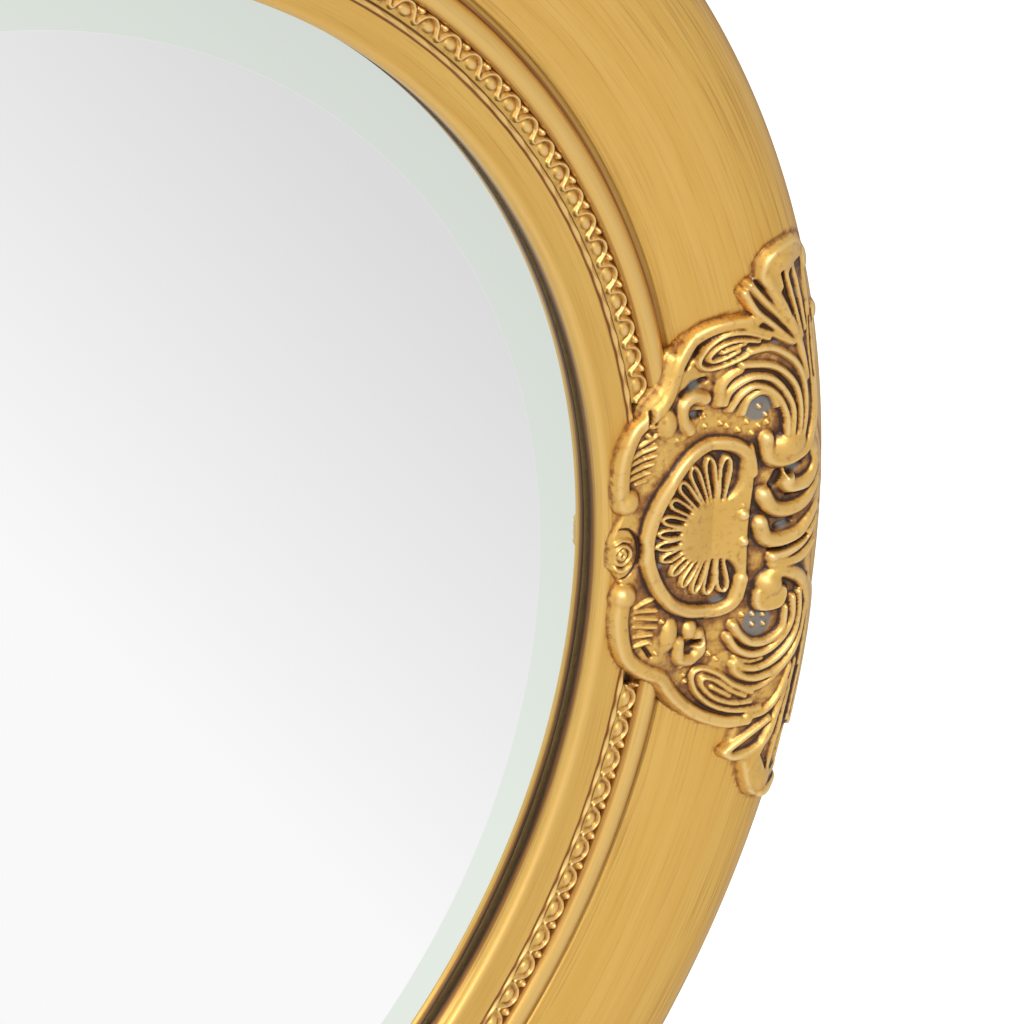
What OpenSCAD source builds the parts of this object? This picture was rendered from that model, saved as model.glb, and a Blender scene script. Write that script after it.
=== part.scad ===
// Round baroque wall mirror: a turned two-part frame with a carved band, four applied
// ornaments, a bevelled mirror glass and the fittings behind it.
// Lengths are in millimetres and angles in degrees. +Z is up, the mirror faces -Y and
// the origin is the centre of the plane of the wall that the rear rim rests on.

/* [Mouldings] */
// Diameter of the mirror that shows inside the frame
sight_d = 372.6; // [340:0.2:420]
// Width of the smooth step from the sight edge to the carved band
step_w = 9.6; // [8.6:0.1:13]
// Width of the channel that holds the carved band
band_w = 5.7; // [5:0.1:8]
// Width of the half-round bead outside the carved band
bead_w = 8.5; // [7:0.1:12]
// Width of the broad cushion from the groove to the outside
cushion_w = 41.9; // [39:0.1:52]

/* [Heights of the face] */
// Height of the sight wall above the rim of the glass
sight_wall_h = 6.2; // [5:0.1:9]
// Rise of the step from the sight wall to the carved band
step_rise = 0.7; // [0.2:0.1:2]
// Radius of the rounding at the top of the sight wall
sight_round = 2.4; // [1:0.1:3.5]
// Depth of the channel below the edge of the step
channel_d = 2.2; // [1.9:0.1:2.8]
// Rise of the half-round bead above the carved band's edge
bead_rise = 2.2; // [1:0.1:3.5]
// Drop of the groove below the carved band's edge
groove_drop = 2.1; // [1:0.1:3]
// Rise of the cushion's crest above the carved band's edge
crest_rise = 8.9; // [7:0.1:11]
// Rise of the cushion's inner shoulder out of the groove
shoulder_rise = 2.3; // [1:0.1:3.5]
// Width of the cushion's outer roll
roll_w = 10; // [8:0.5:14]
// Height of the cushion's outer roll
roll_h = 9; // [7:0.5:12]

/* [Back of the frame] */
// Depth of the recess that keeps the fittings clear of the wall
back_gap = 5; // [4.6:0.1:8]
// Width of the rear rim that rests on the wall
rim_w = 11; // [8:0.5:16]
// Inset of the rear rim from the outside of the frame
rim_inset = 3; // [1:0.5:5]
// Height of the chamfer between the rear rim and the side
rim_chamfer = 3; // [1:0.5:5]
// Width of the inner ring's tube behind its face
tube_w = 8; // [6:0.5:9]
// Thickness of the outer ring's flange behind the inner ring
flange_t = 9; // [8:0.5:9.5]
// Running clearance between the two glued rings
ring_gap = 0.15; // [0.05:0.05:0.4]

/* [Mirror and backing] */
// Thickness of the mirror glass
glass_t = 4; // [3:0.5:6]
// Width of the glass that the frame covers all round
glass_lap = 3.7; // [3:0.1:5]
// Width of the bevel, with the part that the frame covers
bevel_w = 20; // [12:0.5:26]
// Drop of the bevel from the flat face to the edge of the glass
bevel_drop = 1.8; // [0.8:0.1:2.4]
// Clearance between the edge of the glass and the frame
glass_clear = 1; // [0.5:0.1:1.5]
// Clearance between the sight wall's foot and the bevelled glass
seat_gap = 0.1; // [0.05:0.05:0.3]
// Thickness of the foam pad behind the glass
foam_t = 2; // [1:0.5:4]
// Inset of the foam pad from the edge of the glass
foam_inset = 2; // [1:0.5:10]
// Thickness of the backing board
board_t = 3; // [2:0.5:5]

/* [Carved band] */
// Beads in a full turn of the carved band
bead_count = 150; // [120:2:160]
// Radius of each bead
bead_r = 1.7; // [1.2:0.05:1.9]
// Thickness of the band's backing strip
strip_t = 1.4; // [1:0.1:1.8]
// Clearance between the strip and its channel
strip_gap = 0.15; // [0.05:0.05:0.3]
// Angle from an ornament's middle to the strip's end
strip_start = 10.8; // [9:0.1:12]

/* [Ornaments] */
// Thickness of the ornament's backing web
web_t = 1; // [0.8:0.1:1.6]
// Height of the relief against the drawn one
relief = 1; // [0.7:0.05:1.3]
// Clearance between the ornament and the face that it is glued to
bed_gap = 0.3; // [0.2:0.05:0.6]

/* [Turn buttons] */
// Turn buttons that hold the backing board
button_count = 6; // [6:1:6]
// Distance from the edge of the rebate to a button's screw
button_setback = 15; // [12:0.5:18]
// Reach of a button from its screw to its tip
button_reach = 21; // [19:0.5:24]
// Width of a button
button_w = 9; // [8:0.5:12]
// Thickness of a button
button_t = 1.6; // [1:0.1:2]
// Clearance on each face of a button
button_play = 0.1; // [0.05:0.05:0.3]
// Radial clearance round a button's screw
pivot_play = 0.06; // [0.03:0.01:0.1]

/* [Screws] */
// Radius of a screw's shank
shank_r = 1.5; // [1:0.1:2]
// Radius of a screw's head
screw_head_r = 2.8; // [2.4:0.1:3.2]
// Height of a screw's head
screw_head_h = 1.4; // [1:0.1:1.6]
// Length of a screw's pointed tip
screw_tip_l = 3; // [2:0.5:4]
// Clearance between a shank and its pilot hole
pilot_gap = 0.05; // [0:0.01:0.1]

/* [Hangers] */
// Angle of each hanger above the horizontal
hanger_angle = 25; // [21:1:30]
// Width of a hanger's strap
strap_w = 12; // [10:0.5:14]
// Thickness of a hanger's strap
strap_t = 0.8; // [0.6:0.1:1]
// Radius of the wire of the ring
wire_r = 1; // [0.8:0.05:1.1]
// Clearance round the wire in the rolled eye
eye_play = 0.08; // [0.05:0.01:0.1]
// Wall of the rolled eye
eye_wall = 1.02; // [0.9:0.02:1.2]
// Radius of the ring's bow at the middle of its wire
bow_r = 10; // [9:0.5:11]
// Straight part of the ring from the eye to its bow
bow_leg = 5.5; // [4:0.5:8]
// Distance from the ring's bow to the first screw's head
first_screw_gap = 1; // [0.5:0.1:2]
// Distance between a strap's two screws
screw_pitch = 8; // [6.6:0.2:10]

/* [Hidden] */
$fn = 96;

// Radii of the mouldings, from the inside out
r_sight = sight_d / 2;
r_band_in = r_sight + step_w;
r_band_out = r_band_in + band_w;
r_bead = r_band_out + bead_w / 2;
r_groove = r_band_out + bead_w;
r_out = r_groove + cushion_w;
r_crest = r_out - roll_w;
shoulder_w = 0.9;
r_shoulder = r_groove + shoulder_w;

// Radii behind the face
r_glass = r_sight + glass_lap;
r_rebate = r_glass + glass_clear;
r_tube = r_rebate + tube_w;
r_rim_in = r_out - rim_inset - rim_w;

// Heights above the wall, from the back to the front
h_board = back_gap + board_t;
h_foam = h_board + foam_t;
h_glass = h_foam + glass_t;
h_flange = back_gap + flange_t;
bevel_share = (bevel_w - glass_lap) / bevel_w;
h_lip = h_glass - bevel_drop * bevel_share + seat_gap;
h_step = h_lip + sight_wall_h;
h_band = h_step + step_rise;
h_channel = h_band - channel_d;
h_bead = h_band + bead_rise;
h_groove = h_band - groove_drop;
h_shoulder = h_groove + shoulder_rise;
h_crest = h_band + crest_rise;
h_side = h_crest - roll_h;

// Screws are as long below the head as the flange is thick
screw_l = flange_t;
screw_point = 0.15;
pilot_extra = 0.3;
cut_extra = 1;

// Steps in the curved outlines
curve_n = 9;
round_n = 4;
edge_break = 0.6;

// Height of the cushion's face at radius r
function cushion_h(r) =
    r <= r_crest
        ? h_shoulder + (h_crest - h_shoulder) * sin(90 * (r - r_shoulder) / (r_crest - r_shoulder))
        : h_side + roll_h * sqrt(max(0, 1 - pow((r - r_crest) / roll_w, 2)));

// Points of the quarter ellipse from direction a0 to a1 about centre c
function arc(c, a, b, a0, a1, n) =
    [for (i = [0:n]) let (t = a0 + (a1 - a0) * i / n) [c[0] + a * cos(t), c[1] + b * sin(t)]];

// Everything is drawn with its height above the wall along Z and then turned to face -Y
module on_wall() {
    rotate([90, 0, 0]) children();
}

// Shapes that repeat around the frame
module around(angle, radius) {
    rotate([0, 0, angle]) translate([radius, 0, 0]) children();
}

// A pan-head screw whose head's underside is at height h, pointing to the front
module screw(h) {
    translate([0, 0, h - screw_head_h]) cylinder(r = screw_head_r, h = screw_head_h);
    translate([0, 0, h]) cylinder(r = shank_r, h = screw_l - screw_tip_l);
    translate([0, 0, h + screw_l - screw_tip_l])
        cylinder(r1 = shank_r, r2 = shank_r * screw_point, h = screw_tip_l);
}

// The pilot hole of a screw in the back of the frame
module pilot(h) {
    translate([0, 0, back_gap - cut_extra])
        cylinder(r = shank_r + pilot_gap, h = h - back_gap + screw_l + cut_extra + pilot_extra);
}

// Outer ring: the broad cushion, its flange behind the inner ring and the rear rim
module outer_ring_profile() {
    cushion = [for (i = [0:curve_n])
        let (r = r_shoulder + (r_crest - r_shoulder) * i / curve_n) [r, cushion_h(r)]];
    roll = arc([r_crest, h_side], roll_w, roll_h, 90, 0, curve_n);
    polygon(concat(
        [[r_tube + ring_gap, back_gap], [r_tube + ring_gap, h_flange],
         [r_groove, h_flange], [r_groove, h_groove]],
        cushion,
        [for (i = [1:curve_n]) roll[i]],
        [[r_out, rim_chamfer], [r_out - rim_inset, 0], [r_rim_in, 0], [r_rim_in, back_gap]]
    ));
}

module outer_ring() {
    color("goldenrod") on_wall() difference() {
        rotate_extrude() outer_ring_profile();
        for (i = [0:button_count - 1])
            around(button_angle(i), button_pivot_r) pilot(h_button_head);
        for (side = [-1, 1], k = [0, 1])
            translate([side * hanger_x, hanger_screw_y(k), 0]) pilot(h_strap);
    }
}

// Inner ring: sight wall, step, channel for the carved band and half-round bead
module inner_ring_profile() {
    sight = arc([r_sight + sight_round, h_step - sight_round], sight_round, sight_round, 180, 90, round_n);
    bead_base = h_band - strip_gap;
    bead = arc([r_bead, bead_base], bead_w / 2, h_bead - bead_base, 180, 90, round_n);
    fall = arc([r_bead, h_groove], bead_w / 2 - ring_gap, h_bead - h_groove, 90, 0, round_n + 1);
    polygon(concat(
        [[r_sight, h_lip]],
        sight,
        [[r_band_in - edge_break, h_band], [r_band_in, h_band - edge_break / 2],
         [r_band_in, h_channel], [r_band_out, h_channel]],
        bead,
        [for (i = [1:round_n + 1]) fall[i]],
        [[r_groove - ring_gap, h_flange], [r_tube, h_flange], [r_tube, back_gap],
         [r_rebate, back_gap], [r_rebate, h_lip]]
    ));
}

module inner_ring() {
    color("goldenrod") on_wall() rotate_extrude() inner_ring_profile();
}

// Carved band: a strip in the channel between two ornaments, with a row of beads
module bead_strip(k) {
    pitch = 360 / bead_count;
    room = 90 - 2 * strip_start;
    n = floor(room / pitch);
    span = n * pitch;
    start = 90 * k - 45 - span / 2;
    r_mid = (r_band_in + r_band_out) / 2;
    base = h_channel + strip_gap / 2;
    color("darkgoldenrod") on_wall() rotate([0, 0, start]) {
        rotate_extrude(angle = span) polygon([
            [r_band_in + strip_gap, base], [r_band_out - strip_gap, base],
            [r_band_out - strip_gap, base + strip_t - edge_break / 2],
            [r_band_out - strip_gap - edge_break, base + strip_t],
            [r_band_in + strip_gap + edge_break, base + strip_t],
            [r_band_in + strip_gap, base + strip_t - edge_break / 2]]);
        for (i = [0:n - 1])
            around((i + 0.5) * pitch, r_mid) translate([0, 0, base + bead_r]) sphere(r = bead_r);
    }
}

// Mirror glass: a round plate, silvered behind, with a bevelled edge
module mirror_glass() {
    color("lightgray") on_wall() rotate_extrude() polygon([
        [0, h_foam], [r_glass, h_foam], [r_glass, h_glass - bevel_drop],
        [r_glass - bevel_w, h_glass], [0, h_glass]]);
}

// Foam pad that presses the glass against the lip
module foam_pad() {
    color("dimgray") on_wall() translate([0, 0, h_board])
        cylinder(r = r_glass - foam_inset, h = foam_t);
}

// Backing board, flush with the back of the inner ring
module backing_board() {
    color("saddlebrown") on_wall() translate([0, 0, back_gap])
        cylinder(r = r_glass, h = board_t);
}

// Turn buttons: flat tongues on pan-head screws
button_pivot_r = r_rebate + button_setback;
h_button = back_gap - button_play - button_t;
h_button_head = h_button - button_play;
function button_angle(i) = i * 360 / button_count;

module turn_button(i) {
    tip_w = button_w * 0.7;
    color("gold") on_wall() around(button_angle(i), button_pivot_r)
        translate([0, 0, h_button]) linear_extrude(height = button_t) difference() {
            union() {
                circle(d = button_w);
                translate([tip_w / 2 - button_reach, -tip_w / 2])
                    square([button_reach - tip_w / 2, tip_w]);
                translate([tip_w / 2 - button_reach, 0]) circle(d = tip_w);
            }
            circle(r = shank_r + pivot_play);
        }
}

module button_screws() {
    color("silver") on_wall()
        for (i = [0:button_count - 1])
            around(button_angle(i), button_pivot_r) screw(h_button_head);
}

// Hangers: a strap with a rolled eye, and a ring of wire that swings in it
hanger_r = (r_rebate + r_rim_in) / 2;
hanger_x = hanger_r * cos(hanger_angle);
hanger_y = hanger_r * sin(hanger_angle);
h_strap = back_gap - strap_t;
eye_r = wire_r + eye_play + eye_wall;
h_eye = back_gap - eye_r;
ring_reach = bow_leg + bow_r + wire_r;
function hanger_screw_y(k) =
    hanger_y - ring_reach - first_screw_gap - screw_head_r - k * screw_pitch;

module hanger_plate(side) {
    foot_y = hanger_screw_y(1);
    color("silver") on_wall() translate([side * hanger_x, 0, 0]) difference() {
        union() {
            translate([0, 0, h_strap]) linear_extrude(height = strap_t) {
                translate([-strap_w / 2, foot_y]) square([strap_w, hanger_y - foot_y]);
                translate([0, foot_y]) circle(d = strap_w);
            }
            translate([-strap_w / 2, hanger_y, h_eye])
                rotate([0, 90, 0]) cylinder(r = eye_r, h = strap_w);
        }
        translate([-strap_w, hanger_y, h_eye])
            rotate([0, 90, 0]) cylinder(r = wire_r + eye_play, h = 2 * strap_w);
        for (k = [0, 1])
            translate([0, hanger_screw_y(k), 0]) cylinder(r = shank_r + pilot_gap, h = 2 * back_gap);
    }
}

module hanger_ring(side) {
    color("silver") on_wall() translate([side * hanger_x, hanger_y, h_eye]) {
        translate([-bow_r, 0, 0]) rotate([0, 90, 0]) cylinder(r = wire_r, h = 2 * bow_r);
        for (end = [-1, 1]) translate([end * bow_r, 0, 0]) {
            sphere(r = wire_r);
            rotate([90, 0, 0]) cylinder(r = wire_r, h = bow_leg);
        }
        translate([0, -bow_leg, 0]) rotate([0, 0, 180])
            rotate_extrude(angle = 180) translate([bow_r, 0]) circle(r = wire_r);
    }
}

module hanger_screws() {
    color("silver") on_wall()
        for (side = [-1, 1], k = [0, 1])
            translate([side * hanger_x, hanger_screw_y(k), 0]) screw(h_strap);
}

// Ornaments are drawn on a flat sheet: [x, v] is the distance round the frame from the
// ornament's middle and the distance outside the groove. Both follow the frame's widths.
drawn_out = 39.9;
drawn_in = 23.8;
out_scale = cushion_w / drawn_out;
in_scale = (r_groove - r_sight) / drawn_in;
r_sheet = r_groove + 10;

function sheet_r(v) = r_groove + v * (v > 0 ? out_scale : in_scale);
function sheet_a(x) = x / r_sheet * 180 / PI;

// Height of the surface that the ornament is bedded on
r_bridge = r_bead - bead_w / 4;
function bed_h(r) = bed_gap + (r < r_bridge
    ? lookup(r, [[r_sight, h_step], [r_band_in, h_band], [r_bridge, h_bead]])
    : max(h_bead, cushion_h(r - bed_gap)));

// Point of the sheet lifted by dh above the bed
function lifted(p, dh) =
    let (r = sheet_r(p[1]), a = sheet_a(p[0])) [r * cos(a), r * sin(a), bed_h(r) + dh];

// Smooth path through the points of p, with k steps between neighbours
function at(p, i) = p[max(0, min(len(p) - 1, i))];
function blend(a, b, c, d, t) =
    0.5 * (2 * b + (c - a) * t + (2 * a - 5 * b + 4 * c - d) * t * t
        + (3 * b - a - 3 * c + d) * t * t * t);
function path(p, k) = concat(
    [for (i = [0:len(p) - 2], j = [0:k - 1])
        blend(at(p, i - 1), at(p, i), at(p, i + 1), at(p, i + 2), j / k)],
    [p[len(p) - 1]]);

function unit(v) = v / max(norm(v), 0.001);

// Sections of a stroke: offsets across it and heights, as shares of its width and height
ROOF = [[-1, 0], [0, 1], [1, 0]];
RIM = [[-1, 0], [-0.55, 1], [0.3, 1], [1, 0]];

// The carving grows out of the middle of the web's thickness
web_lift = 0.3;
carve_from = web_lift + web_t / 2;

// A carved stroke along p that widens from w0 to w1 and is t high, drawn in at both ends
module stroke(p, w0, w1, t, section = ROOF, k = 1) {
    q = path(p, k);
    n = len(q) - 1;
    m = len(section);
    end_share = 0.45;
    points = [for (i = [0:n])
        let (along = unit(at(q, i + 1) - at(q, i - 1)),
             across = [-along[1], along[0]],
             share = (i == 0 || i == n) ? end_share : 1,
             w = (w0 + (w1 - w0) * i / n) / 2 * share)
        for (s = section) lifted(q[i] + across * s[0] * w, carve_from + s[1] * t * relief * share)];
    faces = concat(
        [[for (j = [0:m - 1]) j]],
        [for (i = [0:n - 1], j = [0:m - 1])
            let (a = i * m + j, b = i * m + (j + 1) % m) each [[a, a + m, b], [b, a + m, b + m]]],
        [[for (j = [m - 1:-1:0]) n * m + j]]);
    polyhedron(points = points, faces = faces);
}

module both(p, w0, w1, t, section = ROOF, k = 1) {
    stroke(p, w0, w1, t, section, k);
    mirror([0, 1, 0]) stroke(p, w0, w1, t, section, k);
}

// A small rounded boss of half-widths a (radial) and b (round the frame) and height t
boss_n = 8;
boss_skin = 0.05;
boss_rings = [[1, 0], [0.75, 0.7], [0.3, 1]];

module boss(p, a, b, t) {
    r = sheet_r(p[1]);
    slope = atan((bed_h(r + 1) - bed_h(r - 1)) / 2);
    rotate([0, 0, sheet_a(p[0])]) translate([r, 0, bed_h(r) + carve_from]) rotate([0, -slope, 0])
        hull() for (ring = boss_rings)
            translate([0, 0, t * relief * ring[1]]) linear_extrude(height = boss_skin)
                scale([a, b] * ring[0]) circle(r = 1, $fn = boss_n);
}

// A broad dome that follows the bed: half-widths a (radial) and b (round the frame)
dome_n = 14;
dome_rings = [[1, 0], [0.86, 0.55], [0.5, 0.92]];

module dome(p, a, b, t) {
    m = len(dome_rings);
    points = concat(
        [for (s = dome_rings, i = [0:dome_n - 1])
            let (turn = 360 * i / dome_n)
            lifted(p + [b * cos(turn), a * sin(turn)] * s[0], carve_from + t * relief * s[1])],
        [lifted(p, carve_from), lifted(p, carve_from + t * relief)]);
    faces = [for (i = [0:dome_n - 1])
        let (k = (i + 1) % dome_n)
        each concat(
            [[i, m * dome_n, k], [(m - 1) * dome_n + i, (m - 1) * dome_n + k, m * dome_n + 1]],
            [for (j = [0:m - 2]) each [
                [j * dome_n + i, j * dome_n + k, (j + 1) * dome_n + i],
                [(j + 1) * dome_n + i, j * dome_n + k, (j + 1) * dome_n + k]]])];
    polyhedron(points = points, faces = faces);
}

// Backing web under the carving: its inner and outer edges over half the ornament
web_in = [[0, -22], [14, -21], [26, -20], [33, -18], [38, -15], [42, -10], [50, -5.5],
    [55, 1], [57.5, 8], [58.5, 16], [62, 21], [67, 27]];
web_out = [[0, 31], [14, 32], [24, 33.5], [44, 34], [60, 34], [66, 32], [67, 30]];
web_rows = [0, 0.15, 0.3, 0.44, 0.57, 0.69, 0.8, 0.9, 1];
web_half = 67;
web_n = 20;

module web() {
    rows = len(web_rows);
    step = 2 * web_half / web_n;
    grid = [for (i = [0:web_n])
        let (x = i * step - web_half, lo = lookup(abs(x), web_in), hi = lookup(abs(x), web_out))
        for (s = web_rows) [x, lo + (hi - lo) * s]];
    count = len(grid);
    points = concat([for (g = grid) lifted(g, web_lift)],
        [for (g = grid) lifted(g, web_lift + web_t)]);
    faces = concat(
        [for (i = [0:web_n - 1], j = [0:rows - 2])
            let (a = i * rows + j, b = a + rows)
            each [[a, a + 1, b], [b, a + 1, b + 1],
                  [count + a, count + b, count + a + 1], [count + b, count + b + 1, count + a + 1]]],
        [for (i = [0:web_n - 1])
            let (a = i * rows, b = a + rows, c = a + rows - 1, d = b + rows - 1)
            each [[a, b, count + a], [b, count + b, count + a],
                  [c, count + c, d], [d, count + c, count + d]]],
        [for (j = [0:rows - 2])
            let (a = j, b = web_n * rows + j)
            each [[a, count + a, a + 1], [a + 1, count + a, count + a + 1],
                  [b, b + 1, count + b], [b + 1, count + b + 1, count + b]]]);
    polyhedron(points = points, faces = faces);
}

// Scrolls of the lower half: the outer rim, the lower scroll and its round end
module scrolls() {
    both([[-56, 21], [-57, 15], [-57, 8], [-54, 1.5], [-49, -2.5], [-42, -3.5]], 5, 4.4, 3.8, RIM);
    both([[-50, -4.5], [-44, -7.5], [-40, -12], [-35, -16.5], [-27, -19.2], [-20, -19.5], [-14, -18.5]],
        4.8, 6.2, 3, RIM);
    for (side = [-1, 1]) boss([side * 14.5, -18.5], 3.2, 3.8, 3.8);
}

// Shield: a D-shaped rim round a dome with a fan of petals, and two pearls above
shield_half = [[0.5, 14.2], [-10, 14.8], [-17, 15.2], [-22.5, 12.5], [-25.3, 6], [-25, 0.5],
    [-21.5, -5], [-14, -10.3], [-7, -12.6], [0.5, -13.3]];

module shield() {
    both(shield_half, 4.6, 4.6, 4, RIM);
    dome([0, 5], 9.5, 10, 3.8);
    petals = 11;
    spread = 100;
    for (i = [0:petals - 1]) {
        a = spread * (2 * i / (petals - 1) - 1);
        stroke([[7 * sin(a), 5 - 5.5 * cos(a)], [20 * sin(a), 4.5 - 14.5 * cos(a)]], 2, 3.6, 2.4);
    }
    boss([3.6, 12.6], 1.7, 1.7, 4.6);
    boss([-3.8, 12.8], 1.5, 1.5, 4.4);
}

// Leaves: the stem that curls into a volute, the outer leaf and the small leaf below it
module leaves() {
    both([[-47, 33], [-34, 34], [-24, 34], [-18, 32.5], [-14.5, 29], [-14, 25], [-18, 21.5]],
        3.6, 6.6, 4.2, RIM);
    for (side = [-1, 1]) boss([side * 18.5, 23.8], 4, 4.4, 4.6);
    both([[-57, 35], [-63, 34.8], [-67, 32.5], [-67.5, 28.5], [-64, 25.8], [-58, 25.6], [-50, 28.5], [-40, 32]],
        5, 3.6, 3.4, RIM);
    both([[-63, 30.6], [-46, 32]], 4, 3, 2.4);
    both([[-65, 17.5], [-60, 20.4], [-53, 25], [-42, 31]], 4.6, 3, 2.8);
}

// Acanthus: ribs that sweep from the volute round the pocket, and the long drop beside them
module acanthus() {
    both([[-18, 30.3], [-28, 31], [-36, 29], [-42, 24.5], [-43.5, 16]], 2.6, 2.8, 3);
    both([[-19, 27], [-28, 27.6], [-35.5, 24], [-39, 18], [-39, 12], [-35, 8.5]], 2.4, 3.6, 3);
    both([[-22, 24.2], [-30, 24], [-34, 19.5], [-32, 14]], 2.4, 3, 2.6);
    both([[-46, 23], [-50, 17], [-50.5, 10], [-48, 4.5]], 3, 5, 3);
}

// Middle: the bud, the belly below it and the flutes beside the lower scroll
module buds() {
    both([[-35.5, 5], [-40, 3.5], [-40, -0.5], [-36.5, -2.5], [-30.5, -0.5]], 3.4, 3.6, 3.2, RIM);
    for (side = [-1, 1]) boss([side * 34.5, -7], 3.8, 5, 2.6);
    both([[-31, -14.5], [-29, -10]], 2.2, 3, 2.2);
    both([[-24, -15], [-24, -10.5]], 2.2, 3, 2.2);
}

// Crest: four curved fingers between the volutes, and the rosette at the foot
fingers = [
    [[12.5, 33], [9, 33.5], [6.2, 30.5], [8, 26]],
    [[3.5, 34.5], [1.2, 30], [1.8, 25], [5.5, 20]],
    [[-1.5, 34.5], [-5, 30], [-6, 25], [-3.6, 19.8]],
    [[-7.5, 34.5], [-11, 30.5], [-13, 24]],
];

module crest() {
    for (f = fingers) stroke(f, 3.2, 5, 3.8, RIM);
    boss([-1, -19.3], 3.4, 8, 2);
    boss([-2, -19.3], 1.9, 2.4, 3.2);
}

module ornament(angle) {
    color("goldenrod") on_wall() rotate([0, 0, angle]) union() {
        web();
        scrolls();
        shield();
        leaves();
        acanthus();
        buds();
        crest();
    }
}

outer_ring();
inner_ring();
bead_strip(1);  // bead_strip_1
bead_strip(2);  // bead_strip_2
bead_strip(3);  // bead_strip_3
bead_strip(4);  // bead_strip_4
ornament(0);  // ornament_right
ornament(90);  // ornament_top
ornament(180);  // ornament_left
ornament(270);  // ornament_bottom
mirror_glass();
foam_pad();
backing_board();
turn_button(0);  // turn_button_1
turn_button(1);  // turn_button_2
turn_button(2);  // turn_button_3
turn_button(3);  // turn_button_4
turn_button(4);  // turn_button_5
turn_button(5);  // turn_button_6
button_screws();
hanger_plate(1);  // hanger_plate_right
hanger_plate(-1);  // hanger_plate_left
hanger_ring(1);  // hanger_ring_right
hanger_ring(-1);  // hanger_ring_left
hanger_screws();
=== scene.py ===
"""Round baroque wall mirror: a turned antique gold frame with a carved band, four cast
scroll ornaments, a bevelled mirror glass and the fittings behind it.

Sizes inside the classes are millimetres in the frame of the CAD model: X to the right, Z up,
the wall at Y = 0 and the mirror facing -Y. A height is a distance in front of the wall, and an
angle runs anticlockwise from +X as seen from the front.
"""

from __future__ import annotations

import logging
import math
from dataclasses import dataclass, field
from enum import Enum
from typing import Any, Iterable, Mapping, Sequence

import bpy
import numpy as np
from mathutils import Euler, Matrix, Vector

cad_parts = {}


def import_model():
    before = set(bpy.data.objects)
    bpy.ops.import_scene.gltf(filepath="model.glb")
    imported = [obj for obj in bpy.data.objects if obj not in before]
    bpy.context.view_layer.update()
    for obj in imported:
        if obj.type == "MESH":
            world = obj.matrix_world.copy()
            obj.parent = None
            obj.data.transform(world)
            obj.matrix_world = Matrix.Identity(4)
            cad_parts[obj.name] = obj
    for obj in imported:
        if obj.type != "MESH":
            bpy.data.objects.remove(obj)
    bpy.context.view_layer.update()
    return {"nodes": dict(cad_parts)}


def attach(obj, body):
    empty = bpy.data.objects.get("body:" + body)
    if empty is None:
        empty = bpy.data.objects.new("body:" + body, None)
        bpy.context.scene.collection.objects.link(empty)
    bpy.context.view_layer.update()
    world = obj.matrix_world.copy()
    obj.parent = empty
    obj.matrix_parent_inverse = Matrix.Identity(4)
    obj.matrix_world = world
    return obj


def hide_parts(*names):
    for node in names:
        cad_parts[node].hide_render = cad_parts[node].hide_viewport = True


LOG = logging.getLogger("mirror")
MM = 0.001
BODY = "frame"
WHITE = "#FFFFFF"
# Radii of the painted contact shade beside the ornaments.
PAINTED_SHADE_RADII = (180.0, 255.0)

Point = tuple[float, float]
Triple = tuple[float, float, float]
Path = Sequence[Point]
Window = tuple[slice, slice]
Material = bpy.types.Material
Socket = bpy.types.NodeSocket
Tree = bpy.types.NodeTree


def linear(colour: str) -> tuple[float, float, float, float]:
    """Turn an sRGB hex colour into the linear colour that a shader takes.

    Args:
        colour: The colour as "#RRGGBB".

    Returns:
        Linear red, green and blue, and 1 for the fourth channel.
    """
    parts = [int(colour[i : i + 2], 16) / 255 for i in (1, 3, 5)]
    red, green, blue = [
        part / 12.92 if part <= 0.04045 else ((part + 0.055) / 1.055) ** 2.4 for part in parts
    ]
    return red, green, blue, 1.0


def add_node(
    tree: Tree, kind: str, inputs: Mapping[str | int, Any] | None = None, **settings: Any
) -> bpy.types.Node:
    """Add a node with its settings, values and links.

    Args:
        tree: The node tree that gets the node.
        kind: The node's type, such as "ShaderNodeMath".
        inputs: Values or linked output sockets, by the name or number of the input.
        settings: Attributes of the node, such as operation="ADD".

    Returns:
        The new node.
    """
    node = tree.nodes.new(kind)
    for name, value in settings.items():
        setattr(node, name, value)
    for key, value in (inputs or {}).items():
        if isinstance(value, Socket):
            tree.links.new(value, node.inputs[key])
        else:
            node.inputs[key].default_value = value
    return node


def new_material(name: str) -> tuple[Material, Tree]:
    """Make an empty node material.

    Args:
        name: The material's name.

    Returns:
        The material and its tree.
    """
    material = bpy.data.materials.new(name)
    material.use_nodes = True
    material.node_tree.nodes.clear()
    return material, material.node_tree


@dataclass(frozen=True)
class Finish:
    """A finish whose patterns feed one shader. Pattern sizes are millimetres."""

    name: str

    def surface(self, tree: Tree) -> dict[str, Any]:
        """Add the finish's patterns and return the shader's inputs."""
        raise NotImplementedError

    def material(self) -> Material:
        """Build the finish.

        Returns:
            Its material.
        """
        material, tree = new_material(self.name)
        shader = add_node(tree, "ShaderNodeBsdfPrincipled", self.surface(tree))
        add_node(tree, "ShaderNodeOutputMaterial", {"Surface": shader.outputs["BSDF"]})
        return material


class Brushing(Enum):
    """How the gold paint was put on."""

    ALONG = "drawn round the turned moulding in long strokes"
    DABBED = "dabbed over the casting and rubbed on its high parts"


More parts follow.
